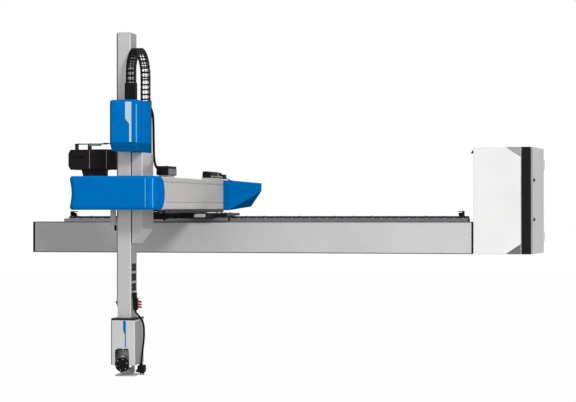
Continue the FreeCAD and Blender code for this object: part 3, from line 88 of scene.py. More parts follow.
# Each finish: colour that the eye sees under plain white light, or the panel's colour it takes;
# the shader's roughness; size in millimetres of the surface's texture; its relief; and what else
# it needs. stretch draws the texture out along one axis.
FINISHES = {
    # Satin powder coat on a rolled steel tube: soft sheen with a fine orange peel, and painted shade along
    # the tube's lower and upper edges
    "powder coated steel grey": ("traverse", 0.42, 3.0, 0.12, dict(rolled=210)),
    # Extruded aluminium, clear anodised: matt silver with faint die lines along its length
    UPRIGHT: ("arm", 0.42, 2.5, 0.15, dict(metallic=0.2, stretch=(1, 1, 0.02))),
    "anodised aluminium, lengthwise": ("demoulding", 0.45, 2.5, 0.15,
                                       dict(metallic=0.1, stretch=(1, 0.02, 1))),
    # Painted shade on the arm's right side: a darker grey stands in for the shade on that side and the
    # shadow lines of its T-slots
    SHADED_SIDE_ALUMINIUM: ("#9C9C9B", 0.5, 2.5, 0.3, dict(metallic=0.1, stretch=(1, 1, 0.02))),
    # Milled aluminium plate: brighter, with cutter marks
    MILLED: ("#B9B9BA", 0.42, 4.0, 0.2, dict(metallic=0.2, stretch=(0.15, 1, 1))),
    # Painted highlight: a near-white strip on an extrusion's or plate's front corner stands in for the light
    # that the corner catches; it reads as a thin white line
    EDGE_HIGHLIGHT: ("#F2F2F1", 0.3, 2.0, 0.05, {}),
    # Hardened and ground guide rail: dark mirror-like steel
    RAIL: ("#707276", 0.3, 1.5, 0.1, dict(metallic=0.9, stretch=(0.05, 1, 1))),
    # Rack and pinion steel after induction hardening: greyer and a little oily
    RACK: ("#4A4A4C", 0.42, 2.0, 0.25, dict(metallic=0.8)),
    # Thermoformed ABS covers: a deep, even colour with a soft face
    BLUE: ("covers", 0.4, 12.0, 0.05, dict(specular=0.0)),
    # Painted shade on blue ABS at the foot of the tall cover and on the rear cover's down-facing facets: a
    # duller, deeper blue where they turn from the light
    SHADED_BLUE: ("#00609C", 0.5, 3.0, 0.1, dict(specular=0.0)),
    # Painted highlight: a raised pale blue bead on the covers' rounded corners stands in for the light that
    # the corner catches; it shows as a bright line
    HIGHLIGHT_BEAD: ("#5FB0EA", 0.2, 8.0, 0.05, dict(coat=0.3)),
    # Plain film stripe on a cover: a pale matt band
    "pale grey film": ("#C3D8E8", 0.4, 6.0, 0.05, {}),
    # Enamelled steel cap of the traverse beam: a dark blue
    "deep blue enamel": ("#1C4668", 0.4, 3.0, 0.12, dict(specular=0.25)),
    # Die-cast motor housings in satin black paint: pebbled cast skin
    CAST: ("#19191B", 0.5, 2.5, 0.4, dict(specular=0.08)),
    # Black oxide on milled steel
    OXIDE: ("#252527", 0.5, 3.0, 0.2, dict(specular=0.12)),
    # Glass-filled nylon, moulded with a fine spark texture
    BLACK: ("#19191B", 0.6, 1.6, 0.35, dict(specular=0.06)),
    RUBBER: ("#19191A", 0.8, 2.0, 0.3, dict(specular=0.1)),
    # White and light grey powder coat on folded sheet, and greys that paint the shade of sides, facets and
    # edges turned from the light
    "white powder coat": ("cabinet", 0.4, 2.5, 0.1, {}),
    LIGHT_GREY: ("#E4E4E2", 0.42, 2.5, 0.12, {}),
    PAINTED_SHADE_GREY: ("#9A9B9C", 0.45, 3.0, 0.1, {}),
    "dark side enamel": ("#939495", 0.5, 3.0, 0.1, {}),
    DEEP_SHADE_GREY: ("#5E5F61", 0.45, 3.0, 0.1, {}),
    "wrist white enamel": ("#DADCDC", 0.36, 3.0, 0.1, {}),
    # Small parts: air couplings, fittings, screws, terminals and drives
    "red acetal": ("#9C1F34", 0.35, 1.5, 0.15, {}),
    NICKEL: ("#B9B6AC", 0.22, 1.2, 0.1, dict(metallic=1.0)),
    SCREW: ("#A7A8AA", 0.3, 1.0, 0.2, dict(metallic=1.0)),
    GREEN: ("#6C8C78", 0.5, 2.0, 0.2, {}),
    ORANGE: ("#A8562A", 0.45, 2.0, 0.2, {}),
    DRIVE: ("#5B5E62", 0.5, 2.0, 0.25, {}),
}


def linear(hex_colour):
    """An sRGB hex colour as linear red, green and blue."""
    out = []
    for i in (1, 3, 5):
        value = int(hex_colour[i:i + 2], 16) / 255
        out.append(value / 12.92 if value <= 0.04045 else ((value + 0.055) / 1.055) ** 2.4)
    return out


def span(node):
    """Lowest and highest corner of a CAD node in millimetres."""
    low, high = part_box(node)
    return low / MM, high / MM


def add_node(tree, kind, inputs=None, **settings):
    """Add a node with its settings. An input is a value, or the output of another node."""
    node = tree.nodes.new(kind)
    for key, value in settings.items():
        setattr(node, key, value)
    for key, value in (inputs or {}).items():
        if isinstance(value, bpy.types.NodeSocket):
            tree.links.new(value, node.inputs[key])
        else:
            node.inputs[key].default_value = value
    return node


def painted_edge_shade(tree, place, tone, height):
    """Painted shade: darker paint where a tube of this height turns over at its lower and upper edge,
    standing in for the shade of its rounded corners.
    """
    up = add_node(tree, "ShaderNodeSeparateXYZ", {0: place}).outputs["Z"]
    down = add_node(tree, "ShaderNodeMath", {0: height, 1: up}, operation="SUBTRACT").outputs[0]
    near = add_node(tree, "ShaderNodeMath", {0: up, 1: down}, operation="MINIMUM").outputs[0]
    share = add_node(tree, "ShaderNodeMapRange",
                     {"Value": near, "From Min": 0.003, "From Max": 0.009}).outputs[0]
    dark = (0.08, 0.08, 0.08, 1)
    return add_node(tree, "ShaderNodeMix", {0: share, 6: dark, 7: tone}, data_type="RGBA").outputs[2]


def finish(name):
    """The material of one finish: its colour, roughness and relief vary as the real surface does."""
    if name in bpy.data.materials:
        return bpy.data.materials[name]
    source, rough, grain, strength, more = FINISHES[name]
    if source.startswith("#"):
        colour = linear(source)
    else:
        colour = list(getattr(bpy.context.scene.gantry_colours, source))
    made = bpy.data.materials.new(name)
    made.use_nodes = True
    tree = made.node_tree
    shader = tree.nodes["Principled BSDF"]
    place = add_node(tree, "ShaderNodeTexCoord").outputs["Object"]
    drawn = add_node(tree, "ShaderNodeMapping", {"Vector": place, "Scale": more.get("stretch", (1, 1, 1))})
    fine = add_node(tree, "ShaderNodeTexNoise", {"Vector": drawn.outputs[0], "Scale": 1 / (grain * MM),
                                                 "Detail": 3.0}).outputs["Fac"]
    broad = add_node(tree, "ShaderNodeTexNoise",
                     {"Vector": place, "Scale": 3.0, "Detail": 2.0}).outputs["Fac"]
    both = add_node(tree, "ShaderNodeMix", {0: 0.5, 2: fine, 3: broad}).outputs[0]
    share = add_node(tree, "ShaderNodeMapRange",
                     {"Value": both, "From Min": 0.3, "From Max": 0.7}).outputs[0]
    darker = [c * 0.9 for c in colour] + [1]
    lighter = [min(1.0, c * 1.06) for c in colour] + [1]
    tone = add_node(tree, "ShaderNodeMix", {0: share, 6: darker, 7: lighter}, data_type="RGBA").outputs[2]
    # Painted shade along the tube's lower and upper edges
    if "rolled" in more:
        tone = painted_edge_shade(tree, place, tone, more["rolled"] * MM)
    tree.links.new(tone, shader.inputs["Base Color"])
    varied = add_node(tree, "ShaderNodeMapRange", {"Value": both, "From Min": 0.3, "From Max": 0.7,
                                                   "To Min": rough - 0.05, "To Max": rough + 0.07})
    tree.links.new(varied.outputs[0], shader.inputs["Roughness"])
    relief = add_node(tree, "ShaderNodeBump", {"Height": fine, "Strength": strength, "Distance": 0.0005})
    tree.links.new(relief.outputs[0], shader.inputs["Normal"])
    for key, value in (("Metallic", more.get("metallic", 0.0)), ("Coat Weight", more.get("coat", 0.0)),
                       ("Specular IOR Level", more.get("specular", 0.5)), ("Coat Roughness", 0.12)):
        shader.inputs[key].default_value = value
    return made


def linked(name, data):
    """A new object of the scene."""
    made = bpy.data.objects.new(name, data)
    bpy.context.scene.collection.objects.link(made)
    return made


def worked_out(holder):
    """The plain mesh that an object's modifiers or splines give. The object itself goes."""
    graph = bpy.context.evaluated_depsgraph_get()
    graph.update()
    mesh = bpy.data.meshes.new_from_object(holder.evaluated_get(graph), depsgraph=graph)
    bpy.data.objects.remove(holder)
    return mesh


def cad_mesh(node):
    """A CAD node's own mesh in millimetres."""
    source = frame["nodes"][node]
    shape = bmesh.new()
    shape.from_mesh(source.data)
    shape.transform(source.matrix_world)
    shape.transform(Matrix.Scale(1 / MM, 4))
    bmesh.ops.remove_doubles(shape, verts=shape.verts, dist=0.01)
    return shape


def islands(node):
    """The boxes of a node's separate solids, in millimetres."""
    mesh = cad_mesh(node)
    boxes = []
    seen = set()
    for start in mesh.verts:
        if start in seen:
            continue
        stack = [start]
        seen.add(start)
        low = start.co.copy()
        high = start.co.copy()
        while stack:
            vert = stack.pop()
            for axis in range(3):
                low[axis] = min(low[axis], vert.co[axis])
                high[axis] = max(high[axis], vert.co[axis])
            fresh = {edge.other_vert(vert) for edge in vert.link_edges} - seen
            seen |= fresh
            stack.extend(fresh)
        boxes.append((low, high))
    mesh.free()
    return boxes


def soften(shape, width, angle=25.0):
    """Round the edges sharper than an angle in degrees by a width in millimetres."""
    if width <= 0:
        return
    sharp = [e for e in shape.edges if e.is_manifold and e.calc_face_angle(0.0) > math.radians(angle)]
    if sharp:
        bmesh.ops.bevel(shape, geom=sharp, offset=width, offset_type="OFFSET", segments=2,
                        profile=0.5, affect="EDGES", clamp_overlap=True)


def skin(shape, rows, closed=True):
    """Faces between neighbouring rows of points. Closed rows are rings, with a flat end at each end."""
    made = [[shape.verts.new(p) for p in line] for line in rows]
    count = len(made[0])
    for near, far in zip(made, made[1:]):
        for i in range(count if closed else count - 1):
            j = (i + 1) % count
            shape.faces.new((near[i], near[j], far[j], far[i]))
    if closed:
        shape.faces.new(made[0])
        shape.faces.new(made[-1])
        bmesh.ops.recalc_face_normals(shape, faces=shape.faces)


def turn_to(axis):
    """The rotation that takes +Z to an axis."""
    return Z.rotation_difference(Vector(axis)).to_matrix().to_4x4()


def facing(x, z, at):
    """The matrix that puts local X and Z along the given directions."""
    return Matrix.Translation(Vector(at)) @ Matrix((x, z.cross(x), z)).transposed().to_4x4()


def standing(y, pairs):
    """An outline in a plane of constant Y from pairs of X and Z."""
    return [(x, y, z) for x, z in pairs]


def arc(centre, radius, first, last, count=8):
    """Points on a circle in X and Y from one angle to another, in degrees."""
    angles = [math.radians(first + (last - first) * i / count) for i in range(count + 1)]
    return [(centre[0] + radius * math.cos(a), centre[1] + radius * math.sin(a)) for a in angles]


class Shapes:
    """Closed shapes in millimetres that become one piece.

    With a CAD node the piece stands for that node. With a finish too, it starts from the node's shape.
    """

    def __init__(self, node=None, paint=None, bevel=1.0, angle=25.0):
        self.mesh = bmesh.new()
        self.paints = []
        self.node = node
        if paint:
            shape = cad_mesh(node)
            bmesh.ops.dissolve_limit(shape, angle_limit=math.radians(0.5), verts=shape.verts,
                                     edges=shape.edges)
            soften(shape, bevel, angle)
            self.add(shape, paint)

    def add(self, shape, paint):
        """Take in one shape with its finish."""
        if paint not in self.paints:
            self.paints.append(paint)
        for face in shape.faces:
            face.material_index = self.paints.index(paint)
        held = bpy.data.meshes.new("held")
        shape.to_mesh(held)
        shape.free()
        self.mesh.from_mesh(held)
        bpy.data.meshes.remove(held)

    def join(self, other, matrix):
        """Take in the shapes of another group, placed by a matrix."""
        other.mesh.transform(matrix)
        for i, paint in enumerate(other.paints):
            part = other.mesh.copy()
            rest = [f for f in part.faces if f.material_index != i]
            bmesh.ops.delete(part, geom=rest, context="FACES")
            self.add(part, paint)
        other.mesh.free()

    def block(self, one, other, paint, bevel=1.0):
        """A box between two opposite corners, in any order."""
        low = Vector(map(min, one, other))
        high = Vector(map(max, one, other))
        shape = bmesh.new()
        place = Matrix.Translation((low + high) / 2) @ Matrix.Diagonal((*(high - low), 1))
        bmesh.ops.create_cube(shape, matrix=place)
        soften(shape, bevel)
        self.add(shape, paint)

    def rod(self, start, axis, radius, length, paint, bevel=0.8, sides=32):
        """A round bar from its start along an axis."""
        shape = bmesh.new()
        bmesh.ops.create_cone(shape, cap_ends=True, segments=sides, radius1=radius, radius2=radius,
                              depth=length)
        middle = Vector(start) + Vector(axis).normalized() * length / 2
        shape.transform(Matrix.Translation(middle) @ turn_to(axis))
        soften(shape, bevel)
        self.add(shape, paint)

    def loft(self, rings, paint, bevel=0.0):
        """A closed skin through rings of points with flat ends."""
        shape = bmesh.new()
        skin(shape, rings)
        soften(shape, bevel)
        self.add(shape, paint)

    def plate(self, outline, along, paint, bevel=1.0):
        """An outline drawn out straight."""
        self.loft([outline, [Vector(p) + Vector(along) for p in outline]], paint, bevel)

    def sheet(self, rows, thickness, paint, bevel=0.0, angle=40.0):
        """A bent sheet through rows of points, thickened inwards."""
        shape = bmesh.new()
        skin(shape, rows, closed=False)
        shape.normal_update()
        middle = sum((v.co for v in shape.verts), Vector()) / len(shape.verts)
        face = max(shape.faces, key=lambda f: (f.calc_center_median() - middle).length)
        if face.normal.dot(face.calc_center_median() - middle) < 0:
            bmesh.ops.reverse_faces(shape, faces=shape.faces)
        shape.normal_update()
        bmesh.ops.solidify(shape, geom=list(shape.faces), thickness=thickness)
        bmesh.ops.recalc_face_normals(shape, faces=shape.faces)
        soften(shape, bevel, angle)
        self.add(shape, paint)

    def turned(self, start, axis, profile, paint, sides=32):
        """A solid of revolution through (distance, radius) pairs."""
        angles = [2 * math.pi * i / sides for i in range(sides)]
        rings = [[(radius * math.cos(a), radius * math.sin(a), along) for a in angles]
                 for along, radius in profile]
        before = len(self.mesh.verts)
        self.loft(rings, paint)
        self.mesh.verts.ensure_lookup_table()
        bmesh.ops.transform(self.mesh, matrix=Matrix.Translation(start) @ turn_to(axis),
                            verts=self.mesh.verts[before:])

    def fitting(self, at, axis, radius, shoulder, neck, length, paint, sides=16, slope=0.5):
        """A round plug or fitting: a body up to its shoulder, then a thinner neck."""
        profile = [(0, radius), (shoulder, radius), (shoulder + slope, neck), (length, neck)]
        self.turned(at, axis, profile, paint, sides)

    def screws(self, places, axis, radius=4.0, paint=SCREW):
        """Socket head cap screws whose heads stand on a face."""
        for at in places:
            self.turned(at, axis, [(0, radius), (radius * 0.9, radius), (radius, radius * 0.88),
                                   (radius, radius * 0.55), (radius * 0.4, radius * 0.5)], paint, 12)

    def side_screws(self, left, right, places, radius, paint=SCREW):
        """A screw on the right face and one on the left face at each pair of Y and Z."""
        for y, z in places:
            self.screws([(right, y, z)], X, radius, paint)
            self.screws([(left, y, z)], -X, radius, paint)

    def repaint(self, paint, chosen):
        """Give another finish to the faces that a test picks."""
        self.paints.append(paint)
        self.mesh.normal_update()
        for face in self.mesh.faces:
            if chosen(face):
                face.material_index = len(self.paints) - 1

    def data(self, name):
        """The shapes as a mesh in metres."""
        self.mesh.transform(Matrix.Scale(MM, 4))
        mesh = bpy.data.meshes.new(name)
        self.mesh.to_mesh(mesh)
        self.mesh.free()
        return mesh

    def piece(self, name, body=None, angle=35.0):
        """Finish the piece: metres, finishes, smooth faces, its body and replaced node."""
        mesh = self.data(name)
        for paint in self.paints:
            mesh.materials.append(finish(paint))
        nodes = (self.node,) if self.node else ()
        return finished(name, mesh, body or BODY_OF[self.node], nodes, angle)


def finished(name, mesh, body, nodes=(), angle=35.0):
    """Link a mesh as a piece. Its normals are weighted by area, so broad faces look flat to their edges."""
    mesh.polygons.foreach_set("use_smooth", [True] * len(mesh.polygons))
    mesh.set_sharp_from_angle(angle=math.radians(angle))
    holder = linked("normals", mesh)
    holder.modifiers.new("normals", "WEIGHTED_NORMAL").keep_sharp = True
    made = linked(name, worked_out(holder))
    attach(made, body)
    if nodes:
        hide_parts(*nodes)
    return made


def dress_all(table):
    """Dress every node of a table with softened edges and its finish."""
    for node, (paint, bevel) in table.items():
        Shapes(node, paint, bevel).piece(node + "_finished")


def along_line(tree, given):
    """Places evenly along a line."""
    line = add_node(tree, "GeometryNodeMeshLine",
                    {0: given["Count"], 2: given["Start"], 3: given["End"]}, mode="END_POINTS")
    return {"Points": line.outputs[0]}


def along_curve(tree, given):
    """Places along a curve in a plane of constant X, with the turn that each copy takes there."""
    places = add_node(tree, "GeometryNodeCurveToPoints",
                      {"Curve": given["Path"], "Count": given["Count"]}, mode="COUNT").outputs
    along = add_node(tree, "FunctionNodeAlignRotationToVector", {"Vector": places["Tangent"]}, axis="Z")
    square = add_node(tree, "FunctionNodeAlignRotationToVector",
                      {"Rotation": along.outputs[0], "Vector": (1, 0, 0)}, axis="X", pivot_axis="Z")
    return {"Points": places["Points"], "Rotation": square.outputs[0]}


def copies(name, placing, shapes, paint, inputs, source=None):
    """The plain mesh of one shape copied by a node tree with named inputs."""
    tree = bpy.data.node_groups.new(name, "GeometryNodeTree")
    tree.interface.new_socket("Result", in_out="OUTPUT", socket_type="NodeSocketGeometry")
    kinds = {"Path": "Geometry", "Shape": "Object", "Start": "Vector", "End": "Vector", "Count": "Int",
             "Finish": "Material"}
    shape = linked("pattern", shapes.data("pattern"))
    inputs = {"Path": None, "Shape": shape, **inputs, "Finish": finish(paint)}
    for label in inputs:
        tree.interface.new_socket(label, in_out="INPUT", socket_type="NodeSocket" + kinds[label])
    given = add_node(tree, "NodeGroupInput").outputs
    held = add_node(tree, "GeometryNodeObjectInfo", {"Object": given["Shape"]}).outputs["Geometry"]
    placed = add_node(tree, "GeometryNodeInstanceOnPoints", {"Instance": held, **placing(tree, given)})
    real = add_node(tree, "GeometryNodeRealizeInstances", {"Geometry": placed.outputs[0]})
    painted = add_node(tree, "GeometryNodeSetMaterial",
                       {"Geometry": real.outputs[0], "Material": given["Finish"]})
    add_node(tree, "NodeGroupOutput", {0: painted.outputs[0]})
    holder = linked("holder", source or bpy.data.meshes.new("holder"))
    modifier = holder.modifiers.new("grown", "NODES")
    modifier.node_group = tree
    for socket in tree.interface.items_tree:
        if socket.in_out == "INPUT" and inputs[socket.name] is not None:
            modifier[socket.identifier] = inputs[socket.name]
    mesh = worked_out(holder)
    bpy.data.objects.remove(shape)
    return mesh


def row(name, shapes, start, end, pitch, paint):
    """A row of one shape on the traverse body between two points in millimetres, at about this pitch."""
    start = Vector(start)
    end = Vector(end)
    count = max(2, round((end - start).length / pitch) + 1)
    mesh = copies("row along a line", along_line, shapes, paint,
                  {"Start": tuple(start * MM), "End": tuple(end * MM), "Count": count})
    return finished(name, mesh, "traverse")


def screw_row(name, radius, start, end, pitch):
    """A row of socket head screws on the traverse body."""
    shapes = Shapes()
    shapes.screws([(0, 0, 0)], Z, radius)
    row(name, shapes, start, end, pitch / MM, SCREW)


def traverse_screws(facts):
    """Screws along the guide rails and the rack."""
    low, high = span("traverse_rails")
    rail_half = 11.5
    for side, name in ((-1, "front_rail_screws"), (1, "rear_rail_screws")):
        y = side * (high.y - rail_half)
        z = high.z - 2.5
        screw_row(name, 5.5, (low.x + 30, y, z), (high.x - 30, y, z), facts.rail_pitch)
    low, high = span("traverse_rack")
    y = high.y - 6
    z = high.z - 2
    screw_row("rack_screws", 5.0, (low.x + 40, y, z), (high.x - 40, y, z), facts.rack_pitch)


def beam_ends():
    """Both ends of the traverse beam: cap with screws, stops, bumpers, seal and the cabinet's bracket."""
    low, high = span("left_end_cap")
    shapes = Shapes("left_end_cap", "deep blue enamel", 0.8)
    shapes.screws([(low.x + 2.0, y, z) for y in (-78, 78) for z in (24, 186)], -X, 4.5)
    shapes.piece("left_end_cap_with_screws")
    low, high = span("end_stop_brackets")
    shapes = Shapes("end_stop_brackets", BLACK)
    for outer, inner in ((low.x, low.x + 37), (high.x, high.x - 37)):
        shapes.block((outer, -30, high.z - 1), (inner, 30, high.z + 5), BLACK, 1.5)
        shapes.block((outer, 33, high.z - 46), (inner, 52, high.z - 26), BLACK, 1.5)
    shapes.piece("end_stops")
    low, high = span("end_stop_bumpers")
    shapes = Shapes("end_stop_bumpers")
    for x, axis in ((low.x, X), (high.x, -X)):
        shapes.turned((x, 0, (low.z + high.z) / 2), axis, [(0, 10.5), (18, 10.5), (22, 9.5), (25.5, 5)],
                      RUBBER, 24)
    shapes.piece("end_bumpers")
    low, high = span("traverse_beam")
    shapes = Shapes()
    shapes.block((low.x, low.y - 1.2, low.z + 1), (low.x + 9, low.y + 0.4, high.z - 1), RUBBER, 0.4)
    shapes.piece("beam_end_seal", "traverse")
    dress_all({"cabinet_bracket": (OXIDE, 1.0)})


def guide_carriages():
    """Ball guide carriages. Each end seal is two cheeks, so that the rail passes between them."""
    seal = 4.0
    for along, (node, room) in enumerate((("carriage_guide_blocks", 13.0), ("cross_guide_blocks", 9.0),
                                          ("arm_guide_blocks", 9.0))):
        shapes = Shapes(node, RAIL, 0.8)
        for low, high in islands(node):
            across = [axis for axis in range(3) if axis != along]
            gap = 5 - min(high - low) * 0.1
            for end, out in ((low[along], -seal), (high[along], seal)):
                first = low.copy()
                last = high.copy()
                first[along] = end
                last[along] = end + out
                for axis in across:
                    first[axis] += gap
                    last[axis] -= gap
                wide = max(across, key=lambda axis: last[axis] - first[axis])
                middle = (first[wide] + last[wide]) / 2
                left = last.copy()
                left[wide] = middle - room
                right = first.copy()
                right[wide] = middle + room
                shapes.block(first, left, BLACK)
                shapes.block(right, last, BLACK)
        shapes.piece(node + "_sealed")


def eight_sided(half, corner, z):
    """A square outline with its corners cut."""
    a = half
    b = half - corner
    return [(a, -b, z), (a, b, z), (b, a, z), (-b, a, z), (-a, b, z), (-a, -b, z), (-b, -a, z), (b, -a, z)]


def servo(length, square):
    """A servo motor about +Z from its flange: gear head, stator with fins, brake and encoder cap."""
    shapes = Shapes()
    half = square / 2
    shapes.block((-half, -half, 0), (half, half, 9), CAST, 3.0)
    seams = (0.04, 0.26, 0.58, 0.95)
    for low, high in zip(seams, seams[1:]):
        z = length * low + 3
        shapes.plate(eight_sided(half, half * 0.09, z), (0, 0, length * high - z), CAST, 1.6)
        ring = CAST if high == seams[-1] else MILLED
        shapes.plate(eight_sided(half * 0.96, half * 0.1, length * high - 1), (0, 0, 5), ring, 0)
    for side in range(4):
        fins = Shapes()
        for k in range(-2, 3):
            y = k * half * 0.26
            fins.block((half - 0.5, y - 3, length * 0.28), (half + 2.0, y + 3, length * 0.57), CAST, 0.8)
        shapes.join(fins, Matrix.Rotation(side * math.pi / 2, 4, "Z"))
    shapes.plate(eight_sided(half * 0.8, half * 0.2, length * 0.94), (0, 0, length * 0.06), CAST, 2.5)
    shapes.screws([(x * half, y * half * 1.3, 9) for y in (-0.55, 0.55) for x in (-0.72, 0.72)], Z)
    return shapes


def elbow(shapes, at, out, along, radius):
    """A round motor plug that leans back from its socket."""
    shapes.rod(at, out, radius * 1.15, radius * 0.9, BLACK, 1.0, 20)
    lean = (out * 0.35 + along).normalized()
    shares = [(0, 0.8), (0.6, 1), (1.6, 1), (1.9, 0.7), (2.4, 0.55)]
    profile = [(radius * along, radius * wide) for along, wide in shares]
    shapes.turned(Vector(at) + out * radius * 0.7, lean, profile, BLACK, 20)


def arm_motor_piece():
    """The vertical axis motor with its plugs, lying beside the arm, and the tray and foot that hold it."""
    low, high = span("arm_motor")
    middle = (low + high) / 2
    shapes = Shapes("arm_motor")
    shapes.join(servo(high.x - low.x, high.z - low.z), facing(Y, -X, (high.x, middle.y, middle.z)))
    for x in (low.x + 62, low.x + 104):
        elbow(shapes, (x, low.y + 12, middle.z + 22), -Y, -X, 11)
    shapes.piece("arm_servo_motor")
    low, high = span("motor_supports")
    shapes = Shapes("motor_supports", CAST)
    shapes.block((low.x + 100, low.y - 3, high.z - 16), (high.x - 30, low.y + 4, high.z - 4), GREEN, 0.8)
    shapes.screws([(x, middle.y + 16, high.z) for x in (low.x + 20, low.x + 92, high.x - 20)], Z, 4.5)
    low, high = min(islands("motor_supports"), key=lambda ends: ends[1].z)
    gusset = [(low.x - 44, high.z), (low.x + 4, high.z), (low.x + 4, low.z), (low.x - 24, low.z)]
    shapes.plate(standing(low.y + 6, gusset), (0, 30, 0), CAST, 1.5)
    shapes.piece("motor_tray_and_foot")


def carriage_motors():
    """Motors of the traverse and demoulding axes: one stands on its flange, the other hangs from it."""
    for node, name, up, out, plugs in (("traverse_motor", "traverse_servo_motor", Z, -X, (50, 84)),
                                       ("cross_motor", "demoulding_servo_motor", -Z, Y, (46, 78))):
        low, high = span(node)
        middle = (low + high) / 2
        flange, tail = (low.z, high.z) if up.z > 0 else (high.z, low.z)
        square = min(high.x - low.x, high.y - low.y) * 0.87
        shapes = Shapes(node)
        shapes.join(servo(high.z - low.z, square), facing(X, up, (middle.x, middle.y, flange)))
        for back in plugs:
            elbow(shapes, Vector((middle.x, middle.y, tail - up.z * back)) + out * 40, out, up, 9)
        shapes.piece(name)


def carriage_piece():
    """The carriage plate with its screws and the dark sliding covers over the rails."""
    low, high = span("carriage_plate")
    middle = (low.x + high.x) / 2
    reach = (high.x - low.x - 110) / 2
    shapes = Shapes("carriage_plate", OXIDE, 1.5)
    shapes.screws([(middle + side * reach + dx, y, high.z) for side in (-1, 1) for dx in (-30, 30)
                   for y in (-85, -45, 45, 85)], Z, 5.0)
    shapes.piece("carriage_plate_with_screws")
    shapes = Shapes()
    for x0, x1, z, paint in ((low.x, low.x + 120, 226, BLACK), (low.x + 124, middle + 40, 236, BLACK),
                             (middle + 44, high.x - 96, 228, OXIDE), (high.x - 92, high.x, 238, BLACK)):
        shapes.block((x0, low.y - 9, z), (x1, low.y, 266), paint, 2.0)
    shapes.block((middle + 60, low.y - 13, 240), (middle + 136, low.y - 8, 262), MILLED)
    shapes.piece("carriage_wipers", "carriage")


def front_cover_piece():
    """The deep blue cover across the head: rounded front corners, drawn in at its left and rolled edges."""
    low, high = span("front_cover")
    corner = 46.0
    steps = 22
    rows = []
    for i in range(steps + 1):
        t = i / steps
        z = low.z + t * (high.z - low.z)
        rim = 9.0 * (max(0.0, 1 - t / 0.09) ** 2 + max(0.0, 1 - (1 - t) / 0.09) ** 2)
        waist = 13.0 * math.sin(math.pi * t) ** 1.5
        lap = 90.0 * (1 - math.sin(math.pi * t) ** 0.45)
        left = low.x + rim
        right = high.x - rim
        front = low.y + rim
        outline = [(left + waist * 0.5, high.y - 4), (left + waist, front + corner + 60)]
        outline += arc((left + corner + waist, front + corner), corner, 180, 270)
        outline += [((left + right) / 2, front)]
        outline += arc((right - corner, front + corner), corner, 270, 360)
        outline += [(right, (front + high.y) / 2), (right, high.y - lap)]
        rows.append([(x, y, z) for x, y in outline])
    shapes = Shapes("front_cover")
    shapes.sheet(rows, 4.0, BLUE)
    # Two pale blue beads on the front right corner: painted highlight
    for x, y, radius in ((high.x - 57, low.y, 2.5), (high.x - 14, low.y + 14, 3.0)):
        shapes.rod((x, y, low.z + 14), Z, radius, high.z - low.z - 28, HIGHLIGHT_BEAD, 1.0, 12)
    shapes.screws([(high.x - 1, high.y - 96, z) for z in (low.z + 26, high.z - 26)], X, 4.0, OXIDE)
    shapes.piece("front_cover_moulding", angle=50.0)


def upper_cover_piece():
    """The tall blue cover: bevelled left corner, turned-in foot, cut lower corner and plain pale stripe."""
    low, high = span("upper_cover")
    cut = 45.0
    foot = 58.0
    draw_in = 10.0
    base = [(low.x, high.y), (low.x, low.y + 97), (low.x + 41, low.y), (low.x + 70, low.y),
            (high.x - 10, low.y), (high.x, low.y + 14), (high.x, high.y)]
    rows = []
    for z, draw in ((low.z, draw_in), (low.z + foot, 0.0), (high.z - 14, 0.0), (high.z - 4, 3.0),
                    (high.z, 9.0)):
        line = []
        for x, y in base:
            x = min(max(x, low.x + draw * 0.5), high.x - draw * 0.35)
            y = max(y, low.y + draw) if y < high.y - 1 else y
            lift = max(0.0, cut - (x - low.x)) if z == low.z else 0.0
            line.append((x, y, z + lift))
        rows.append(line)
    shapes = Shapes("upper_cover")
    shapes.sheet(rows, 4.0, BLUE, 2.2, 12.0)
    # The turned-in foot of the cover gets a darker blue: painted shade
    shapes.repaint(SHADED_BLUE, lambda face: max(v.co.z for v in face.verts) < low.z + foot + 1)
    x = high.x - 35
    stripe = [(x - 14, low.z + foot + 2), (x, low.z + foot + 2), (x, high.z - 14), (x - 40, high.z - 14),
              (x - 40, high.z - 118), (x - 14, high.z - 150)]
    shapes.plate(standing(low.y + 0.5, stripe), (0, -1.4, 0), "pale grey film", 0.3)
    # A pale blue bead on the front right corner: painted highlight
    shapes.rod((high.x - 5, low.y + 4, low.z + 56), Z, 3.5, high.z - low.z - 84, HIGHLIGHT_BEAD, 1.0, 12)
    y = high.y - 28
    shapes.side_screws(low.x + 1, high.x - 1, [(y, low.z + 90), (y, high.z - 60)], 4.0, OXIDE)
    shapes.piece("upper_cover_moulding", angle=12.0)


def rear_cover_piece():
    """The faceted blue cover over the beam's rear end, with softened creases."""
    shapes = Shapes("rear_cover", BLUE, 4.0, 8.0)
    # Down-facing facets get a darker blue: painted shade
    shapes.repaint(SHADED_BLUE, lambda face: face.normal.z < -0.2)
    y = span("rear_cover")[0].y + 22
    low, high = span("demoulding_beam")
    shapes.side_screws(low.x - 4, high.x + 4, [(y, low.z + 40), (y, high.z - 40)], 4.0, OXIDE)
    shapes.piece("rear_cover_moulding", angle=12.0)


def head_metal():
    """The head's bracket and drive plate with their screws."""
    low, high = span("head_bracket")
    shapes = Shapes("head_bracket", MILLED, 2.5)
    heights = (low.z + 130, low.z + 180, high.z - 60, high.z - 20)
    shapes.screws([(high.x, low.y + 200, z) for z in heights], X, 5.0)
    # A near-white strip on the bracket's front right corner: painted highlight
    shapes.block((high.x - 5, low.y - 0.8, high.z - 165), (high.x + 0.6, low.y + 3, high.z - 4),
                 EDGE_HIGHLIGHT, 0.4)
    shapes.piece("head_bracket_with_screws")
    low, high = span("arm_drive_plate")
    shapes = Shapes("arm_drive_plate", MILLED, 1.2)
    corners = [(low.x, y, z) for y in (low.y + 12, high.y - 12) for z in (low.z + 12, high.z - 12)]
    shapes.screws(corners, -X, 4.5)
    shapes.piece("arm_drive_plate_with_screws")


